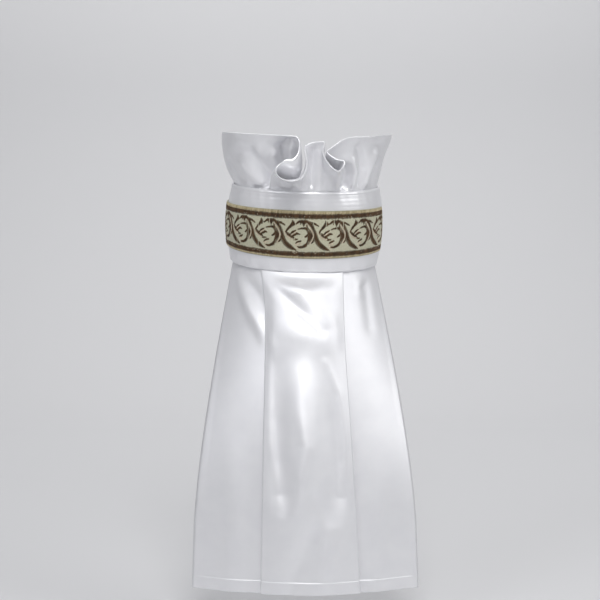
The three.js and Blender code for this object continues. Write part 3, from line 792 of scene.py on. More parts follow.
def frill():
    base, bead, lines = frill_lines()
    grid, heights, from_edge = [], [], []
    for line in lines:
        total = run_along(line)[-1]
        body = np.linspace(0, total - ROLL_ROWS[0], FRILL_BODY_ROWS, endpoint=False)
        wanted = np.concatenate([body, total - np.array(ROLL_ROWS)])
        grid.append(at_lengths(line, wanted))
        heights.append(wanted)
        from_edge.append(total - wanted)
    grid = np.stack(grid, axis=1)
    heights = np.stack(heights, axis=1)
    from_edge = np.stack(from_edge, axis=1)
    along = length_at(base)[None, :]
    wander = PUCKER_WANDER * np.sin(along / PUCKER_WANDER_LENGTH)
    gather = np.sin(2 * math.pi * along / PUCKER_PITCH + wander)
    above = np.maximum(0, heights - FRILL_FOOT)
    depth = PUCKER_DEPTH * np.minimum(1, above / 2) * np.exp(-above / PUCKER_FADE)
    inwards = grid_normals(grid)
    relief = frill_relief(grid)
    relief = relief * smooth_step(above, *RELIEF_FROM_FOOT) * smooth_step(from_edge, *RELIEF_FROM_EDGE)
    grid = grid + inwards * (gather * depth)[..., None] + inwards * (-relief)[..., None]
    bead = np.clip(bead, 0, 1)
    tight_roll = bead * (1 - smooth_step(from_edge, *ROLL_FROM_EDGE))
    roll_depth = tight_roll + (1 - bead) * np.exp(-from_edge / SOFT_ROLL_LENGTH)
    thickness = FRILL_WALL + (FRILL_ROLL - FRILL_WALL) * roll_depth
    thickness = np.minimum(thickness, rounded(from_edge, FRILL_ROLL, ROLL_RADIUS))
    uv = np.stack([np.broadcast_to(run_along(grid[-1]), heights.shape), heights], axis=-1)
    return cloth_shell("satin_frill", as_worn(grid), thickness, uv, SATIN), grid


ruffle, frill_grid = frill()
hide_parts("frill")

# %% [markdown]
# The bib is one cut of satin with a box pleat each side of its centre panel: from the left edge it
# runs in under the panel, folds back out, and folds again over the front, then the same in reverse on
# the right. It leaves the band on the neck's curve and flattens on to the chest as it goes down. The
# soft folds in it are a table of lines, each a low ridge or dip that dies away to its sides.

# %% The bib's sizes
BIB_WALL = 1.0
BIB_LENGTH = 236
BIB_DROP = 0.1
BIB_CLEARANCE = 0.2
BIB_SIDE_INSET = 1.6
BIB_START_SLOPE = (0.25, 0.97)
BIB_CHEST_SLOPE = 0.95
BIB_SIDE_ANGLE = 82
BIB_TOP_CURVE_RADIUS = 52
BIB_SPREAD = 1.08
BIB_CHEST_RADIUS = 150
BIB_FLATTEN_LENGTH = 190
BIB_FLATTEN_POWER = 1.6
BIB_FORWARD_REACH = 60
BIB_FORWARD_LENGTH = 165
HEM_HEIGHT = 9
SIDE_HEM = 5
HEM_EXTRA = 0.5
PLEAT_DEPTH = 14
LAYER_SPACING = 1.5
LAYER_SPACING_GROWTH = 0.7
CENTRE_PANEL_CROWN = 4.5
CENTRE_PANEL = [
    # down, middle, half width
    (0, -1.8, 29),
    (30, 0.2, 27.3),
    (62, 0.7, 27.2),
    (105, 1.7, 28.2),
    (236, 4, 30),
]
FOLD_FALL_OFF = 2.2
BIB_FOLDS = [
    # fold, width, path of (across, down, proud)
    ("bulge over the chest", 20, [(-15, 42, 1.4), (0, 46, 2), (13, 50, 1.4)]),
    ("ridge over the diagonal", 8, [(-17, 2, 0.6), (-4, 12, 1), (6, 24, 1), (17, 37, 0.7)]),
    ("valley under the diagonal", 6, [(-25, 7, -0.3), (-14, 18, -1.1), (-3, 31, -1.3), (11, 46, -0.9)]),
    ("left hollow", 11, [
        (-15, 58, 0), (-17, 84, -1.4), (-18.5, 110, -2.8), (-18, 140, -3.2), (-17, 164, -2.6), (-15, 182, 0),
    ]),
    ("right hollow", 11, [
        (9, 62, 0), (13, 88, -1), (15.5, 112, -2.4), (17.5, 140, -3), (18, 166, -2.8), (16, 188, 0),
    ]),
    ("middle ridge", 6, [(-5, 76, 0.2), (-5, 104, 0.8), (-1.5, 130, 1.4), (-5, 152, 1.6), (-9, 176, 0.8)]),
    ("foot hollow", 9, [(-14, 236, -1.2), (-6, 212, -1.8), (0, 198, -1.8), (5, 182, -0.6), (8, 168, 0)]),
    ("foot ridge", 8, [(1, 160, 0), (5, 176, 0.8), (9.5, 192, 1.6), (8, 214, 1.6), (4, 236, 1)]),
    ("left panel drag", 8, [(-57, 10, 1), (-43, 30, 2), (-29, 48, 1.6), (-22, 62, 0.4)]),
    ("left panel dip", 8, [(-50, 3, -0.6), (-40, 14, -1), (-30, 24, -0.8)]),
    ("right panel pucker", 6, [(43, 2, 1.4), (45, 16, 0.8)]),
    ("right panel dip", 8, [(53, 14, -1.2), (53, 44, -0.8)]),
    ("left hem wave", 14, [(-50, 120, 0), (-48, 176, 1.6), (-50, 236, 2.6)]),
    ("right hem wave", 14, [(46, 110, 0), (45, 176, 1.8), (42, 236, 2.8)]),
    ("left rim", 3.6, [(-25, 60, 0.2), (-26, 96, 0.8), (-25, 126, 0.9), (-21.5, 152, 0.7), (-20, 172, 0.2)]),
    ("right rim", 3.6, [(13, 68, 0.4), (22, 92, 0.8), (24.7, 118, 0.9), (24.5, 142, 0.8), (21, 162, 0.4)]),
    ("small right pucker", 3.5, [(50, 1, 0.8), (47.5, 9, 0.6), (45, 14, 0.2)]),
    ("crease under the puckers", 3, [(40, 12, -0.5), (46, 15, -0.6), (55, 10, -0.5)]),
]
print(len(BIB_FOLDS), "soft folds")

# %% [markdown]
# The same three steps make the bib at every level: a surface that its back layer follows, the soft
# folds, and a run of cloth with its layers. NumPy arrays hold the whole cloth at once, so the shape is
# worked out for all points together. The surface comes first: a ring of straight lines down from the
# band, which turns by degrees into a chest of even curve.

# %% The bib's surface
def bib_surface(across, down):
    """The bib's back layer, in the model's frame."""
    degrees = np.degrees(across / BIB_TOP_CURVE_RADIUS)
    side_share = np.minimum(1, np.abs(degrees) / BIB_SIDE_ANGLE)
    inset = BAND_WALL + BIB_CLEARANCE + (BIB_SIDE_INSET - BAND_WALL - BIB_CLEARANCE) * side_share**3
    ring = collar_point(degrees, -HALF_HEIGHT, -inset)
    ring[..., 2] -= BIB_DROP
    ring = as_worn(ring)
    top = as_worn(collar_point(0, -HALF_HEIGHT, -BAND_WALL - BIB_CLEARANCE))
    ring[..., 1] -= BIB_START_SLOPE[0] * down
    ring[..., 2] -= BIB_START_SLOPE[1] * down
    spread = 1 + (BIB_SPREAD - 1) * down / BIB_LENGTH
    forward = BIB_FORWARD_REACH * (1 - np.exp(-down / BIB_FORWARD_LENGTH))
    chest = vectors(
        across * spread,
        top[1] - forward + across**2 / (2 * BIB_CHEST_RADIUS),
        top[2] - BIB_CHEST_SLOPE * down,
    )
    flatten = 1 - (1 - np.minimum(1, down / BIB_FLATTEN_LENGTH)) ** BIB_FLATTEN_POWER
    return ring + (chest - ring) * flatten[..., None]


print("the bib's foot is at", bib_surface(np.array(0.0), np.array(float(BIB_LENGTH))).round(1).tolist(), "mm")

# %% [markdown]
# A soft fold acts from the nearest point of its path, and fades with the distance from it as a bell
# curve does. How proud it stands changes along the path, so folds begin and end softly.

# %% The bib's soft folds
def fold_height(across, down):
    """How proud the soft folds stand: each acts from the nearest point of its path."""
    across, down = np.broadcast_arrays(across, down)
    height = np.zeros(across.shape)
    for fold, width, path in BIB_FOLDS:
        nearest, proud = np.full(across.shape, np.inf), np.zeros(across.shape)
        for start, end in zip(path[:-1], path[1:]):
            share, off = beside_segment(across, down, start, end)
            proud = np.where(off < nearest, start[2] + (end[2] - start[2]) * share, proud)
            nearest = np.minimum(nearest, off)
        height += proud * np.exp(-FOLD_FALL_OFF * (nearest / width) ** 2)
    return height


print("in the left hollow:", round(float(fold_height(-18, 140)), 1), "mm")

# %% [markdown]
# At each level the cloth runs from the left side in under the panel, turns, comes back out, turns again
# and crosses the front. The right half is its mirror image. Turns are half circles, or the pleats would
# have knife edges.

# %% The bib's layers
SIDE_STEPS, TUCK_STEPS, PANEL_STEPS = 26, 7, 46
SIDE_FOLD_ZONE = (-2, 8)
PANEL_FOLD_GAIN = 2.5
FOLD_ONSET = (0, 18)
side_reach = math.radians(BIB_SIDE_ANGLE) * BIB_TOP_CURVE_RADIUS


def pleated_run(down):
    """Across, out and layer of the cloth at each level, from the left edge to the right."""
    down = down[:, None]
    table = np.array(CENTRE_PANEL, float)
    middle = np.interp(down, table[:, 0], table[:, 1])
    panel = np.interp(down, table[:, 0], table[:, 2])
    tuck = panel - PLEAT_DEPTH
    share = down / BIB_LENGTH
    spacing = LAYER_SPACING + LAYER_SPACING_GROWTH * share

    def run(start, end, layer, steps):
        t = np.linspace(0, 1, steps + 1)[None, :]
        return start + (end - start) * t, layer * spacing + 0 * t, np.full((1, steps + 1), layer)

    def turn(place, layer, way):
        angles = np.radians([22, 45, 67, 90, 112, 135, 158])[None, :]
        across = place + way * spacing / 2 * np.sin(angles)
        return across, (layer + 0.5) * spacing - spacing / 2 * np.cos(angles), layer + 0.5 + 0 * angles

    left = [
        run(-side_reach + 0 * panel, -panel, 0.0, SIDE_STEPS),
        [part[:, 1:] for part in run(-panel, -tuck, 0.0, TUCK_STEPS)],
        turn(-tuck, 0.0, 1),
        run(-tuck, -panel, 1.0, TUCK_STEPS),
        turn(-panel, 1.0, -1),
    ]
    centre = run(-panel, panel, 2.0, PANEL_STEPS)

    def joined(k):
        """One measure of the whole run; the right side mirrors the left one."""
        half = [np.broadcast_to(part[k], (len(down), part[k].shape[1])) for part in left]
        half = np.concatenate(half, axis=1)
        whole_centre = np.broadcast_to(centre[k], (len(down), PANEL_STEPS + 1))
        mirrored = -half[:, ::-1] if k == 0 else half[:, ::-1]
        return np.concatenate([half, whole_centre, mirrored], axis=1)

    across, out, layer = (joined(k) for k in range(3))
    on_panel = np.where(layer == 2, 1 - (across / panel) ** 2, 0)
    on_side = np.where(layer == 0, smooth_step(np.abs(across) - panel, *SIDE_FOLD_ZONE), 0)
    folds = fold_height(across, down) * np.minimum(1, PANEL_FOLD_GAIN * on_panel + on_side)
    lift = CENTRE_PANEL_CROWN * on_panel + folds
    drift = middle * (1 - (across / side_reach) ** 2)
    return across + drift, out + smooth_step(down, *FOLD_ONSET) * lift


print("the bib's back layer reaches", round(side_reach), "mm to each side")

# %% [markdown]
# The layers are set out from the surface along its own normal, which near the band is the band's. The
# rows stand closer at the hem, where the cloth is turned up and a little thicker.

# %% Bib
BIB_ROWS = 130
NORMAL_STEP = 0.5
BAND_BLEND = (0, 15)
HEM_EDGE_RADIUS = 0.7


def bib():
    hem = BIB_LENGTH - HEM_HEIGHT
    down = np.concatenate([
        np.linspace(0, 4, 6, endpoint=False),
        np.linspace(4, hem - 0.6, BIB_ROWS),
        [hem - 0.2, hem + 0.2, hem + 0.8],
        np.linspace(hem + 2, BIB_LENGTH - 0.8, 5),
        [BIB_LENGTH - 0.5, BIB_LENGTH - 0.25, BIB_LENGTH - 0.08, BIB_LENGTH],
    ])
    across, out = pleated_run(down)
    levels = np.broadcast_to(down[:, None], across.shape)
    here = bib_surface(across, levels)
    along = bib_surface(across + NORMAL_STEP, levels) - bib_surface(across - NORMAL_STEP, levels)
    below = bib_surface(across, levels + NORMAL_STEP) - here
    front = np.cross(below, along)
    front /= np.linalg.norm(front, axis=-1, keepdims=True)
    from_band = as_worn(outward(np.degrees(across / BIB_TOP_CURVE_RADIUS)))
    blend = smooth_step(levels, *BAND_BLEND)[..., None]
    facing = from_band + (front - from_band) * blend
    facing /= np.linalg.norm(facing, axis=-1, keepdims=True)
    grid = here + facing * out[..., None]
    run = run_along(grid, axis=1)
    to_side = np.minimum(run, run[:, -1:] - run)
    at_hem = smooth_step(levels, hem - 0.2, hem + 0.2)
    at_side = 1 - smooth_step(to_side, SIDE_HEM - 0.4, SIDE_HEM + 0.2)
    thickness = BIB_WALL + HEM_EXTRA * np.maximum(at_hem, at_side)
    thickness = np.minimum(thickness, rounded(BIB_LENGTH - levels, BIB_WALL + HEM_EXTRA, HEM_EDGE_RADIUS))
    uv = np.stack([run, levels], axis=-1)
    return cloth_shell("satin_bib", grid, thickness, uv, SOFT_SHADED_SATIN), run


front_bib, bib_run = bib()
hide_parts("bib")

# %% [markdown]
# The ribbon is jacquard: the ground is a tight pale weave, and the brown figure is made by warp threads
# that float over it. The ground's plain weave is a node group, which works out from the UV map which
# thread lies on top at each place and how high it arches there. The other thread shows darker.

# %% Plain weave
GROUND_THREADS = 22
WARP_COLOUR = (0.6, 0.6, 0.47)
WEFT_COLOUR = (0.4, 0.37, 0.24)


def weave_group():
    """A plain weave: which thread lies on top, and how high it arches there."""
    group = new_tree("plain weave", "ShaderNodeTree", {"Count": 20}, {"Height": "Float", "Warp": "Float"})
    add_nodes(group, {
        "cloth": ("ShaderNodeUVMap", {"uv_map": "cloth"}),
        "apart": ("ShaderNodeSeparateXYZ", {}),
        "height": ("ShaderNodeMix", {}),
    }, ["cloth.UV > apart.Vector", "height.Result > out.Height"])
    arches, floors = [], []
    for axis in ("apart.X", "apart.Y"):
        counted = math_node(group, "MULTIPLY", axis, "in.Count")
        within = math_node(group, "FRACT", counted)
        arches.append(math_node(group, "SINE", math_node(group, "MULTIPLY", within, math.pi)))
        floors.append(math_node(group, "FLOOR", counted))
    both = math_node(group, "ADD", *floors)
    warp = math_node(group, "MULTIPLY", math_node(group, "FRACT", math_node(group, "MULTIPLY", both, 0.5)), 2)
    over = math_node(group, "MULTIPLY", arches[0], math_node(group, "POWER", arches[1], 0.5))
    under = math_node(group, "MULTIPLY", arches[1], math_node(group, "POWER", arches[0], 0.5))
    for start, end in ((warp, "height.Factor"), (under, "height.A"), (over, "height.B"), (warp, "out.Warp")):
        join(group, start, end)
    return group


def ground_material():
    material = new_material(
        "ribbon ground", {"Base Color": (*WEFT_COLOUR, 1), "Roughness": 0.6, "Sheen Weight": 0.1}
    )
    tree = material.node_tree
    add_nodes(tree, {
        "weave": ("ShaderNodeGroup", {"node_tree": weave_group(), "Count": GROUND_THREADS}),
        "threads": ("ShaderNodeGroup", {"node_tree": THREADS, "Along": 12, "Across": 8}),
        "drift": middle_to(-0.35, 0.35),
        "shade": blend_of(WEFT_COLOUR, WARP_COLOUR),
        "relief": ("ShaderNodeBump", {"Strength": 0.7, "Distance": 0.00012}),
    }, [
        "threads.Height > drift.Value",
        "shade.Result > Principled BSDF.Base Color",
        "weave.Height > relief.Height",
        "relief.Normal > Principled BSDF.Normal",
    ])
    join(tree, math_node(tree, "ADD", "weave.Warp", "drift.Result"), "shade.Factor")
    return material


GROUND = ground_material()
print(GROUND.name, "with", GROUND_THREADS, "threads to the centimetre")

# %% [markdown]
# The ground itself is a thin strip on the band with rounded selvedges. It is cut straight, but on a
# barrel a straight ribbon bows a little towards its ends.

# %% Ribbon ground
RIBBON_TOP, RIBBON_BOTTOM = 16.4, -18.6
RIBBON_WIDTH = RIBBON_TOP - RIBBON_BOTTOM
RIBBON_WALL = 1.0
RIBBON_ENDS = (-97, 74)
RIBBON_SIDE_BOW = 2.2
TOP_BOW_SHARE = 0.3
RIBBON_STEPS, RIBBON_ROWS = 240, 26
SELVEDGE_RADIUS = 0.6


def on_ribbon(along, up, proud):
    """Points on the ribbon: along it from the front, up from its lower edge, and proud of its face."""
    degrees = degrees_at(along)
    bow = RIBBON_SIDE_BOW * (degrees / 90) ** 2
    low, high = RIBBON_BOTTOM + bow, RIBBON_TOP - TOP_BOW_SHARE * bow
    height = low + (high - low) * up / RIBBON_WIDTH
    return as_worn(collar_point(degrees, height, GAP + RIBBON_WALL + proud))


def ribbon_ground():
    along = length_at(np.linspace(*RIBBON_ENDS, RIBBON_STEPS + 1))
    selvedge = np.array([0.0, 0.1, 0.3, 0.6])
    between = np.linspace(1.2, RIBBON_WIDTH - 1.2, RIBBON_ROWS)
    up = np.concatenate([selvedge, between, RIBBON_WIDTH - selvedge[::-1]])
    along, up = np.meshgrid(along, up)
    grid = on_ribbon(along, up, -RIBBON_WALL / 2)
    to_edge = np.minimum(up, RIBBON_WIDTH - up)
    uv = np.stack([along, up], axis=-1)
    thickness = rounded(to_edge, RIBBON_WALL, SELVEDGE_RADIUS)
    return cloth_shell("ribbon_ground", grid, thickness, uv, GROUND)


ribbon = ribbon_ground()
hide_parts("woven_ribbon")
print("ribbon:", round(RIBBON_WIDTH), "mm wide")

# %% [markdown]
# The figure is a running scroll of leaves, an old border pattern. One repeat is charted as a few
# curved strokes. Each stroke is a smooth line through a handful of points, in millimetres from the
# repeat's middle, with its width at each point. A warp thread floats wherever it crosses a stroke.

# %% Chart of the scroll
REPEAT = 23.7
REPEAT_START = -3.1
FIGURE_MIDDLE = 17.3
WARP_PITCH = 0.42
STROKE_STEPS = 8
DARK_STROKES = {
    "stem over the top and down to the next ring": [
        (-3.4, 8.0, 0.8), (-0.6, 9.9, 2.0), (3.2, 10.0, 2.5), (6.2, 8.4, 2.3), (8.6, 5.3, 2.5),
        (9.8, 1.8, 3.2), (10.9, -2.6, 3.8), (13.1, -6.3, 3.9), (16.9, -9.2, 3.2), (20.9, -11.1, 0.5),
    ],
    "crescent down the right": [
        (-2.0, 4.2, 0.6), (0.6, 4.9, 1.1), (3.8, 4.9, 1.9), (5.8, 3.0, 3.0), (6.9, 0.0, 3.8),
        (6.4, -3.6, 3.6), (4.8, -6.4, 2.7), (2.2, -8.2, 2.0), (-0.4, -8.9, 1.5), (-2.7, -8.3, 0.5),
    ],
    "shoulder of the crescent": [(4.2, 7.2, 1.2), (5.4, 4.6, 2.2)],
    "leaf at the upper left": [
        (-10.6, 2.2, 1.0), (-9.0, 4.4, 1.7), (-7.0, 6.6, 2.2), (-5.6, 8.2, 2.9), (-6.2, 10.8, 0.5),
    ],
    "leaf bud beside it": [(-5.2, 7.4, 1.9), (-4.2, 8.4, 0.8)],
    "wedge under the crown": [(2.0, 9.2, 2.8), (2.0, 6.2, 0.6)],
    "tooth left of the wedge": [(0.1, 9.2, 1.4), (-0.4, 7.6, 0.5)],
    "tooth right of the wedge": [(4.4, 9.0, 1.6), (4.2, 7.6, 0.6)],
    "tip to the right": [(5.6, 9.4, 1.6), (9.0, 8.6, 1.5), (12.4, 6.8, 0.6)],
    "inner leaf": [(-10.6, 2.2, 1.0), (-8.8, 0.4, 2.2), (-7.0, -1.2, 2.5), (-4.6, -2.0, 0.8)],
    "inner blade": [(-7.8, -0.2, 1.0), (-5.6, 2.0, 1.6), (-3.2, 3.6, 0.5)],
    "inner prong": [(-7.2, -0.9, 1.0), (-4.6, 0.1, 1.9), (-2.6, 1.0, 1.5), (-0.4, 0.6, 0.4)],
    "lower prong": [(-6.4, -1.8, 1.2), (-4.2, -3.1, 1.5), (-1.6, -3.2, 0.4)],
    "curl": [(-3.4, -6.0, 0.8), (-2.0, -5.0, 1.2), (0.2, -4.2, 1.0)],
    "leaf at the right": [(6.6, -5.6, 0.8), (8.4, -4.8, 1.6), (10.0, -3.2, 0.8)],
    "barb on the crescent": [(6.0, 1.4, 1.2), (4.3, -0.4, 1.6), (2.6, -1.4, 0.4)],
}
LIGHT_STROKES = {
    "vein between stem and crescent": [
        (4.1, 8.6, 0.5), (7.2, 4.3, 0.9), (8.9, 0.5, 1.0), (8.4, -2.9, 0.9), (6.7, -6.2, 0.6),
    ],
    "vein beside the stem": [(-12.0, 1.8, 0.5), (-9.8, -0.7, 0.9), (-7.0, -2.6, 0.9), (-4.6, -3.0, 0.4)],
    "vein in the leaf": [(-2.8, 2.6, 0.5), (-5.0, 1.2, 0.9), (-6.8, -0.2, 0.5)],
    "vein in the curl": [(-3.6, -6.9, 0.6), (-1.4, -6.6, 1.5), (0.4, -6.4, 0.5)],
    "vein at the foot": [(-3.2, -7.6, 0.5), (-1.4, -10.2, 0.8)],
}
BROWN, PALE, GOLD = 0, 1, 2
EDGE_BANDS = [
    # from, to (millimetres up the ribbon), colour
    (0.25, 1.5, GOLD),
    (1.5, 5.1, BROWN),
    (29.3, 32.7, BROWN),
    (32.7, 34.75, GOLD),
]


def inside_strokes(strokes, along, up):
    """Whether places in the repeat lie on a stroke; strokes also reach in from the next repeats."""
    inside = np.zeros(np.broadcast(along, up).shape, bool)
    for points in strokes.values():
        line = smooth_rows(points, STROKE_STEPS)
        for shift in (-REPEAT, 0, REPEAT):
            for start, end in zip(line[:-1], line[1:]):
                share, off = beside_segment(along - shift, up, start, end)
                inside |= off < (start[2] + (end[2] - start[2]) * share) / 2
    return inside


print(len(DARK_STROKES), "dark strokes and", len(LIGHT_STROKES), "light ones")

# %% [markdown]
# Each float is found by walking up a warp thread and noting where it enters and leaves a stroke. A
# brown float and a pale one never share a place, so the pale veins are cut out of the brown strokes.
# The border bands are floats too. No weave is perfect: threads that pass the same dent of the reed lie
# together and share a tint, ends are ragged, a few floats are missing, and short pale ones sparkle
# along the borders. The floats become points that carry their length and their tint.

# %% Floats on the warp
STEP_UP = 0.12
SHORTEST_FLOAT = 0.45
END_MARGIN = 0.4
FIGURE_MARGIN = 0.3
RAGGED_END = 0.5
BORDER_RAGGEDNESS = 2.0
MISSING_SHARE = 0.025
THREADS_A_DENT = 2
DENT_SHARE = 0.6
SPARKLE_SHARE = 0.13
SPARKLE_LENGTH = 1.1
SPARKLE_SPREAD = 1.6
RANDOM_SEED = 7


def floats_in_column(mask, heights):
    """Start and end of each run of True up a column."""
    change = np.diff(np.concatenate([[False], mask, [False]]).astype(int))
    starts = heights[np.flatnonzero(change == 1)]
    ends = heights[np.flatnonzero(change == -1) - 1] + STEP_UP
    return [(low, high) for low, high in zip(starts, ends) if high - low >= SHORTEST_FLOAT]


def weave_floats():
    """Along, middle height, length, colour and tint of every float."""
    random = np.random.default_rng(RANDOM_SEED)
    first, last = length_at(RIBBON_ENDS[0]) + END_MARGIN, length_at(RIBBON_ENDS[1]) - END_MARGIN
    columns = np.arange(first, last, WARP_PITCH)
    heights = np.arange(EDGE_BANDS[1][1] + FIGURE_MARGIN, EDGE_BANDS[2][0] - FIGURE_MARGIN / 2, STEP_UP)
    in_repeat = (columns - REPEAT_START + REPEAT / 2) % REPEAT - REPEAT / 2
    place, up = np.meshgrid(in_repeat, heights - FIGURE_MIDDLE, indexing="ij")
    light = inside_strokes(LIGHT_STROKES, place, up)
    dark = inside_strokes(DARK_STROKES, place, up) & ~light
    rows = []

    def add(column, low, high, colour, dent, ragged_low=1.0, ragged_high=1.0):
        low -= RAGGED_END * ragged_low * (dent[1] + random.random()) / 2
        high += RAGGED_END * ragged_high * (dent[2] + random.random()) / 2
        tint = DENT_SHARE * dent[0] + (1 - DENT_SHARE) * random.random()
        rows.append((column, (low + high) / 2, high - low, colour, tint))

    for i, column in enumerate(columns):
        if i % THREADS_A_DENT == 0:
            dent = random.random(3)
        for colour, mask in ((BROWN, dark[i]), (PALE, light[i])):
            for low, high in floats_in_column(mask, heights):
                if random.random() > MISSING_SHARE:
                    add(column, low, high, colour, dent)
        for low, high, colour in EDGE_BANDS:
            ragged_low = 0 if low < 1 else BORDER_RAGGEDNESS
            ragged_high = 0 if high > RIBBON_WIDTH - 1 else BORDER_RAGGEDNESS
            add(column, low, high, colour, dent, ragged_low, ragged_high)
        for border in (EDGE_BANDS[1][1], EDGE_BANDS[2][0]):
            if random.random() < SPARKLE_SHARE:
                middle = border + random.uniform(-SPARKLE_SPREAD, SPARKLE_SPREAD)
                half = SPARKLE_LENGTH / 2
                add(column, middle - half, middle + half, PALE, dent, 0, 0)
    return np.array(rows)


floats = weave_floats()
print(len(floats), "floats on", round(float(np.ptp(floats[:, 0])) / WARP_PITCH), "warp threads")

# %% [markdown]
# Thousands of equal threads are work for Geometry Nodes. The tree takes the points, sets an arched
# thread on each, closed underneath, stretches it to the float's length, and realizes the lot. The
# ribbon is still flat at this stage: wrapping it round the neck afterwards is one line, because
# on_ribbon knows the way. The last steps of the tree serve the stitches later, so they are a table of
# their own.

# %% Geometry Nodes: floating threads
SOWING_PARTS = {
    "sow": ("GeometryNodeInstanceOnPoints", {}),
    "realize": ("GeometryNodeRealizeInstances", {}),
    "paint": ("GeometryNodeSetMaterial", {}),
}
SOWING_WIRES = [
    "size.Vector > sow.Scale",
    "sow.Instances > realize.Geometry",
    "realize.Geometry > paint.Geometry",
    "in.Material > paint.Material",
    "paint.Geometry > out.Threads",
]


def float_tree():
    group = new_tree("floating threads", "GeometryNodeTree", {
        "Points": "Geometry", "Thread Width": 0.48, "Thread Height": 0.22, "Material": "Material",
    }, {"Threads": "Geometry"})
    add_nodes(group, {
        "strip": ("GeometryNodeMeshGrid", {"Size X": 1, "Size Y": 1, "Vertices X": 4, "Vertices Y": 4}),
        "place": ("GeometryNodeInputPosition", {}),
        "apart": ("ShaderNodeSeparateXYZ", {}),
        "lift": ("ShaderNodeCombineXYZ", {}),
        "arch": ("GeometryNodeSetPosition", {}),
        "under": ("GeometryNodeFlipFaces", {}),
        "both": ("GeometryNodeJoinGeometry", {}),
        "closed": ("GeometryNodeMergeByDistance", {}),
        "length": ("GeometryNodeInputNamedAttribute", {"data_type": "FLOAT", "Name": "float_length"}),
        "size": ("ShaderNodeCombineXYZ", {"Z": 1}),
        **SOWING_PARTS,
    }, [
        "place.Position > apart.Vector",
        "strip.Mesh > arch.Geometry",
        "lift.Vector > arch.Offset",
        # The arched top and a flat underside meet along their rims, so the thread is a closed form.
        "strip.Mesh > under.Mesh",
        "arch.Geometry > both.Geometry",
        "under.Mesh > both.Geometry",
        "both.Geometry > closed.Geometry",
        "in.Thread Width > size.X",
        "length.Attribute > size.Y",
        "in.Points > sow.Points",
        "closed.Geometry > sow.Instance",
        *SOWING_WIRES,
    ])
    across = math_node(group, "POWER", math_node(group, "ABSOLUTE", "apart.X"), 2)
    along = math_node(group, "POWER", math_node(group, "ABSOLUTE", "apart.Y"), 4)
    crown = math_node(group, "SUBTRACT", 1, math_node(group, "MULTIPLY", across, 4))
    ends = math_node(group, "SUBTRACT", 1, math_node(group, "MULTIPLY", along, 16))
    domed = math_node(group, "MULTIPLY", crown, ends)
    join(group, math_node(group, "MULTIPLY", domed, "in.Thread Height"), "lift.Z")
    return group


FLOAT_TREE = float_tree()
print("tree:", FLOAT_TREE.name, "with", len(FLOAT_TREE.nodes), "nodes")

# %% [markdown]
# A tree only works as a modifier on some object, and the export wants a plain mesh. So a seed object
# carries the points, the modifier grows the threads on it, the result is copied as a mesh, and the seed
# goes away.

# %% From a tree to a plain mesh
def grown(name, points, edges, attributes, group, inputs):
    """The plain mesh that a Geometry Nodes tree makes from points and edges."""
    seed = bpy.data.meshes.new(name + "_seed")
    seed.from_pydata(points.tolist(), edges, [])
    for attribute, values in attributes.items():
        seed.attributes.new(attribute, "FLOAT", "POINT").data.foreach_set("value", values)
    holder = put_in_scene(name + "_seed", seed)
    modifier = holder.modifiers.new("grow", "NODES")
    modifier.node_group = group
    identifiers = {item.name: item.identifier for item in group.interface.items_tree
                   if item.item_type == "SOCKET" and item.in_out == "INPUT"}
    for key, value in inputs.items():
        modifier[identifiers[key]] = value
    mesh = bpy.data.meshes.new_from_object(holder.evaluated_get(bpy.context.evaluated_depsgraph_get()))
    mesh.name = name
    bpy.data.objects.remove(holder)
    return mesh


# %% [markdown]
# Brown, pale and gold threads are three pieces with three materials. Each thread's tint comes from its
# own attribute, so neighbours differ a little, which gives the brown the fine upright hatching of a
# real woven figure.

# %% Woven figure
THREAD_SPECULAR = 0.35
THREAD_SINK = 0.03


def thread_material(name, dark, light, roughness):
    material = new_material(name, {"Specular IOR Level": THREAD_SPECULAR})
    add_nodes(material.node_tree, {
        "tint": ("ShaderNodeAttribute", {"attribute_name": "tint"}),
        "shade": blend_of(dark, light),
        "gloss": middle_to(*roughness),
    }, [
        "tint.Fac > shade.Factor",
        "shade.Result > Principled BSDF.Base Color",
        "tint.Fac > gloss.Value",
        "gloss.Result > Principled BSDF.Roughness",
    ])
    return material


def figure_piece(name, colour, material):
    chosen = floats[:, 3] == colour
    flat = vectors(floats[chosen, 0], floats[chosen, 1], 0.0)
    attributes = {"float_length": floats[chosen, 2], "tint": floats[chosen, 4]}
    mesh = grown(name, flat, [], attributes, FLOAT_TREE, {"Material": material})
    points = np.zeros(len(mesh.vertices) * 3)
    mesh.vertices.foreach_get("co", points)
    along, up, proud = points.reshape(-1, 3).T
    wrapped = on_ribbon(along, up, proud - THREAD_SINK)
    mesh.vertices.foreach_set("co", (wrapped * MM).ravel())
    mesh.polygons.foreach_set("use_smooth", [True] * len(mesh.polygons))
    mesh.update()
    piece = put_in_scene(name, mesh)
    print(f"{name}: {chosen.sum()} threads")
    return piece


BROWN_THREAD = thread_material("brown thread", (0.022, 0.011, 0.005), (0.13, 0.07, 0.03), (0.45, 0.6))
PALE_THREAD = thread_material("pale thread", (0.46, 0.38, 0.27), (0.72, 0.64, 0.5), (0.35, 0.5))
GOLD_THREAD = thread_material("gold thread", (0.28, 0.21, 0.1), (0.68, 0.6, 0.4), (0.35, 0.55))
figure = [
    figure_piece("figure_brown", BROWN, BROWN_THREAD),
    figure_piece("figure_pale", PALE, PALE_THREAD),
    figure_piece("figure_gold", GOLD, GOLD_THREAD),
]

# %% [markdown]
# Stitches follow a line at an even pitch, so they are grown by Geometry Nodes too: the line is
# sampled, and a little spindle of thread is laid along it at each sample.

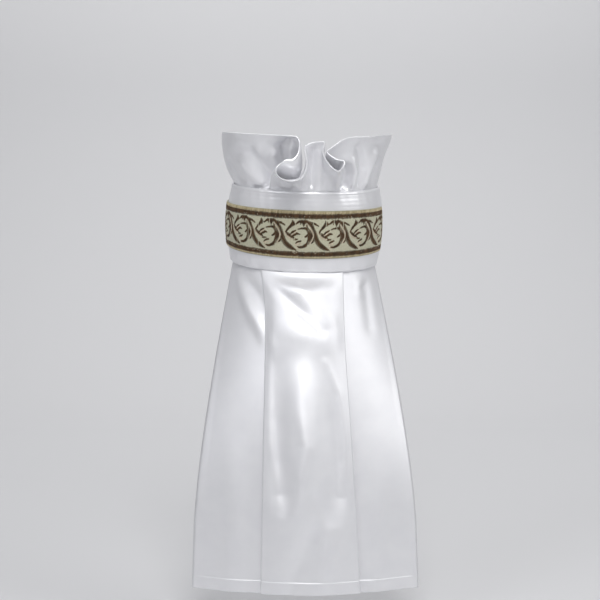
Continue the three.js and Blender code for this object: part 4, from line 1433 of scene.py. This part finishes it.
# %% Geometry Nodes: running stitches
def stitch_tree():
    group = new_tree("running stitches", "GeometryNodeTree", {
        "Line": "Geometry", "Pitch": 0.0028, "Stitch Length": 0.0021, "Thread Thickness": 0.0003,
        "Material": "Material",
    }, {"Threads": "Geometry"})
    add_nodes(group, {
        "line": ("GeometryNodeMeshToCurve", {}),
        "sample": ("GeometryNodeCurveToPoints", {"mode": "LENGTH"}),
        "aim": ("FunctionNodeAlignRotationToVector", {"axis": "Z"}),
        "spindle": ("GeometryNodeMeshUVSphere", {"Segments": 6, "Rings": 5, "Radius": 0.5}),
        "size": ("ShaderNodeCombineXYZ", {}),
        **SOWING_PARTS,
    }, [
        "in.Line > line.Mesh",
        "line.Curve > sample.Curve",
        "in.Pitch > sample.Length",
        "sample.Tangent > aim.Vector",
        "in.Thread Thickness > size.X",
        "in.Thread Thickness > size.Y",
        "in.Stitch Length > size.Z",
        "sample.Points > sow.Points",
        "spindle.Mesh > sow.Instance",
        "aim.Rotation > sow.Rotation",
        *SOWING_WIRES,
    ])
    return group


STITCH_TREE = stitch_tree()
print("tree:", STITCH_TREE.name, "with", len(STITCH_TREE.nodes), "nodes")

# %% [markdown]
# The ribbon is sewn on in gold, along both selvedges and up both ends. At the nape a rectangle of
# white stitches shows on the lapping end, which holds the closing pad under it.

# %% Stitches
WHITE_THREAD = new_material("white thread", {"Base Color": (0.83, 0.83, 0.84, 1), "Roughness": 0.5})
SEWING_GOLD = new_material("gold sewing thread", {"Base Color": (0.5, 0.43, 0.27, 1), "Roughness": 0.5})
SELVEDGE_INSET, RIBBON_END_INSET = 1.0, 0.8
SEAM_PROUD = 0.12
SEAM_POINTS, SHORT_SEAM_POINTS, LAP_SEAM_POINTS = 200, 30, 24
LAP_SEAM_NEAR, LAP_SEAM_FAR = LAP_END - 3, LAP_END - 33
LAP_SEAM_HEIGHT = 24


def stitch_piece(name, lines, material):
    points = np.concatenate(lines) * MM
    edges, first = [], 0
    for line in lines:
        edges += [(first + i, first + i + 1) for i in range(len(line) - 1)]
        first += len(line)
    mesh = grown(name, points, edges, {}, STITCH_TREE, {"Material": material})
    mesh.polygons.foreach_set("use_smooth", [True] * len(mesh.polygons))
    piece = put_in_scene(name, mesh)
    print(f"{name}: {len(mesh.polygons)} faces")
    return piece


def ribbon_lines():
    """Along both selvedges, then up both ends."""
    first, last = RIBBON_ENDS[0] + RIBBON_END_INSET, RIBBON_ENDS[1] - RIBBON_END_INSET
    run = length_at(np.linspace(first, last, SEAM_POINTS))
    lines = [on_ribbon(run, up, SEAM_PROUD) for up in (SELVEDGE_INSET, RIBBON_WIDTH - SELVEDGE_INSET)]
    rise = np.linspace(1.5, RIBBON_WIDTH - 1.5, SHORT_SEAM_POINTS)
    return lines + [on_ribbon(np.full(len(rise), run[end]), rise, SEAM_PROUD) for end in (0, -1)]


def lap_line():
    """Round the end of the lap, as one closed line."""
    corners = [
        (LAP_SEAM_FAR, LAP_SEAM_HEIGHT),
        (LAP_SEAM_NEAR, LAP_SEAM_HEIGHT),
        (LAP_SEAM_NEAR, -LAP_SEAM_HEIGHT),
        (LAP_SEAM_FAR, -LAP_SEAM_HEIGHT),
        (LAP_SEAM_FAR, LAP_SEAM_HEIGHT),
    ]
    t = np.linspace(0, 1, LAP_SEAM_POINTS)
    pieces = []
    for (a, z), (a2, z2) in zip(corners[:-1], corners[1:]):
        degrees = a + (a2 - a) * t
        pieces.append(collar_point(degrees, z + (z2 - z) * t, lap_offset(degrees) + 0.1))
    return as_worn(np.concatenate(pieces))


seams = [
    stitch_piece("ribbon_stitches", ribbon_lines(), SEWING_GOLD),
    stitch_piece("lap_stitches", [lap_line()], WHITE_THREAD),
]

# %% [markdown]
# The closing pad lies hidden between the lapped ends, as hook-and-loop tape does. Its solid has the
# right shape already, so it stays and only gets a dull, slightly furry finish in its own material.

# %% Fastening pad
def loop_pile_material():
    material = new_material(
        "loop pile", {"Base Color": (0.74, 0.74, 0.74, 1), "Roughness": 0.9, "Sheen Weight": 0.4}
    )
    add_nodes(material.node_tree, {
        "place": ("ShaderNodeTexCoord", {}),
        "loops": ("ShaderNodeTexNoise", {"Scale": 1400, "Detail": 4}),
        "relief": ("ShaderNodeBump", {"Strength": 0.8, "Distance": 0.0004}),
    }, [
        "place.Object > loops.Vector",
        "loops.Fac > relief.Height",
        "relief.Normal > Principled BSDF.Normal",
    ])
    return material


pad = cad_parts["fastening_pad"]
pad.data.materials.clear()
pad.data.materials.append(loop_pile_material())
print("pad:", pad.data.materials[0].name)

# %% [markdown]
# Last, every piece is tied to the model's one body.

# %% Ride on the body
for piece in (band, ruffle, front_bib, ribbon, *figure, *seams):
    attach(piece, "root")
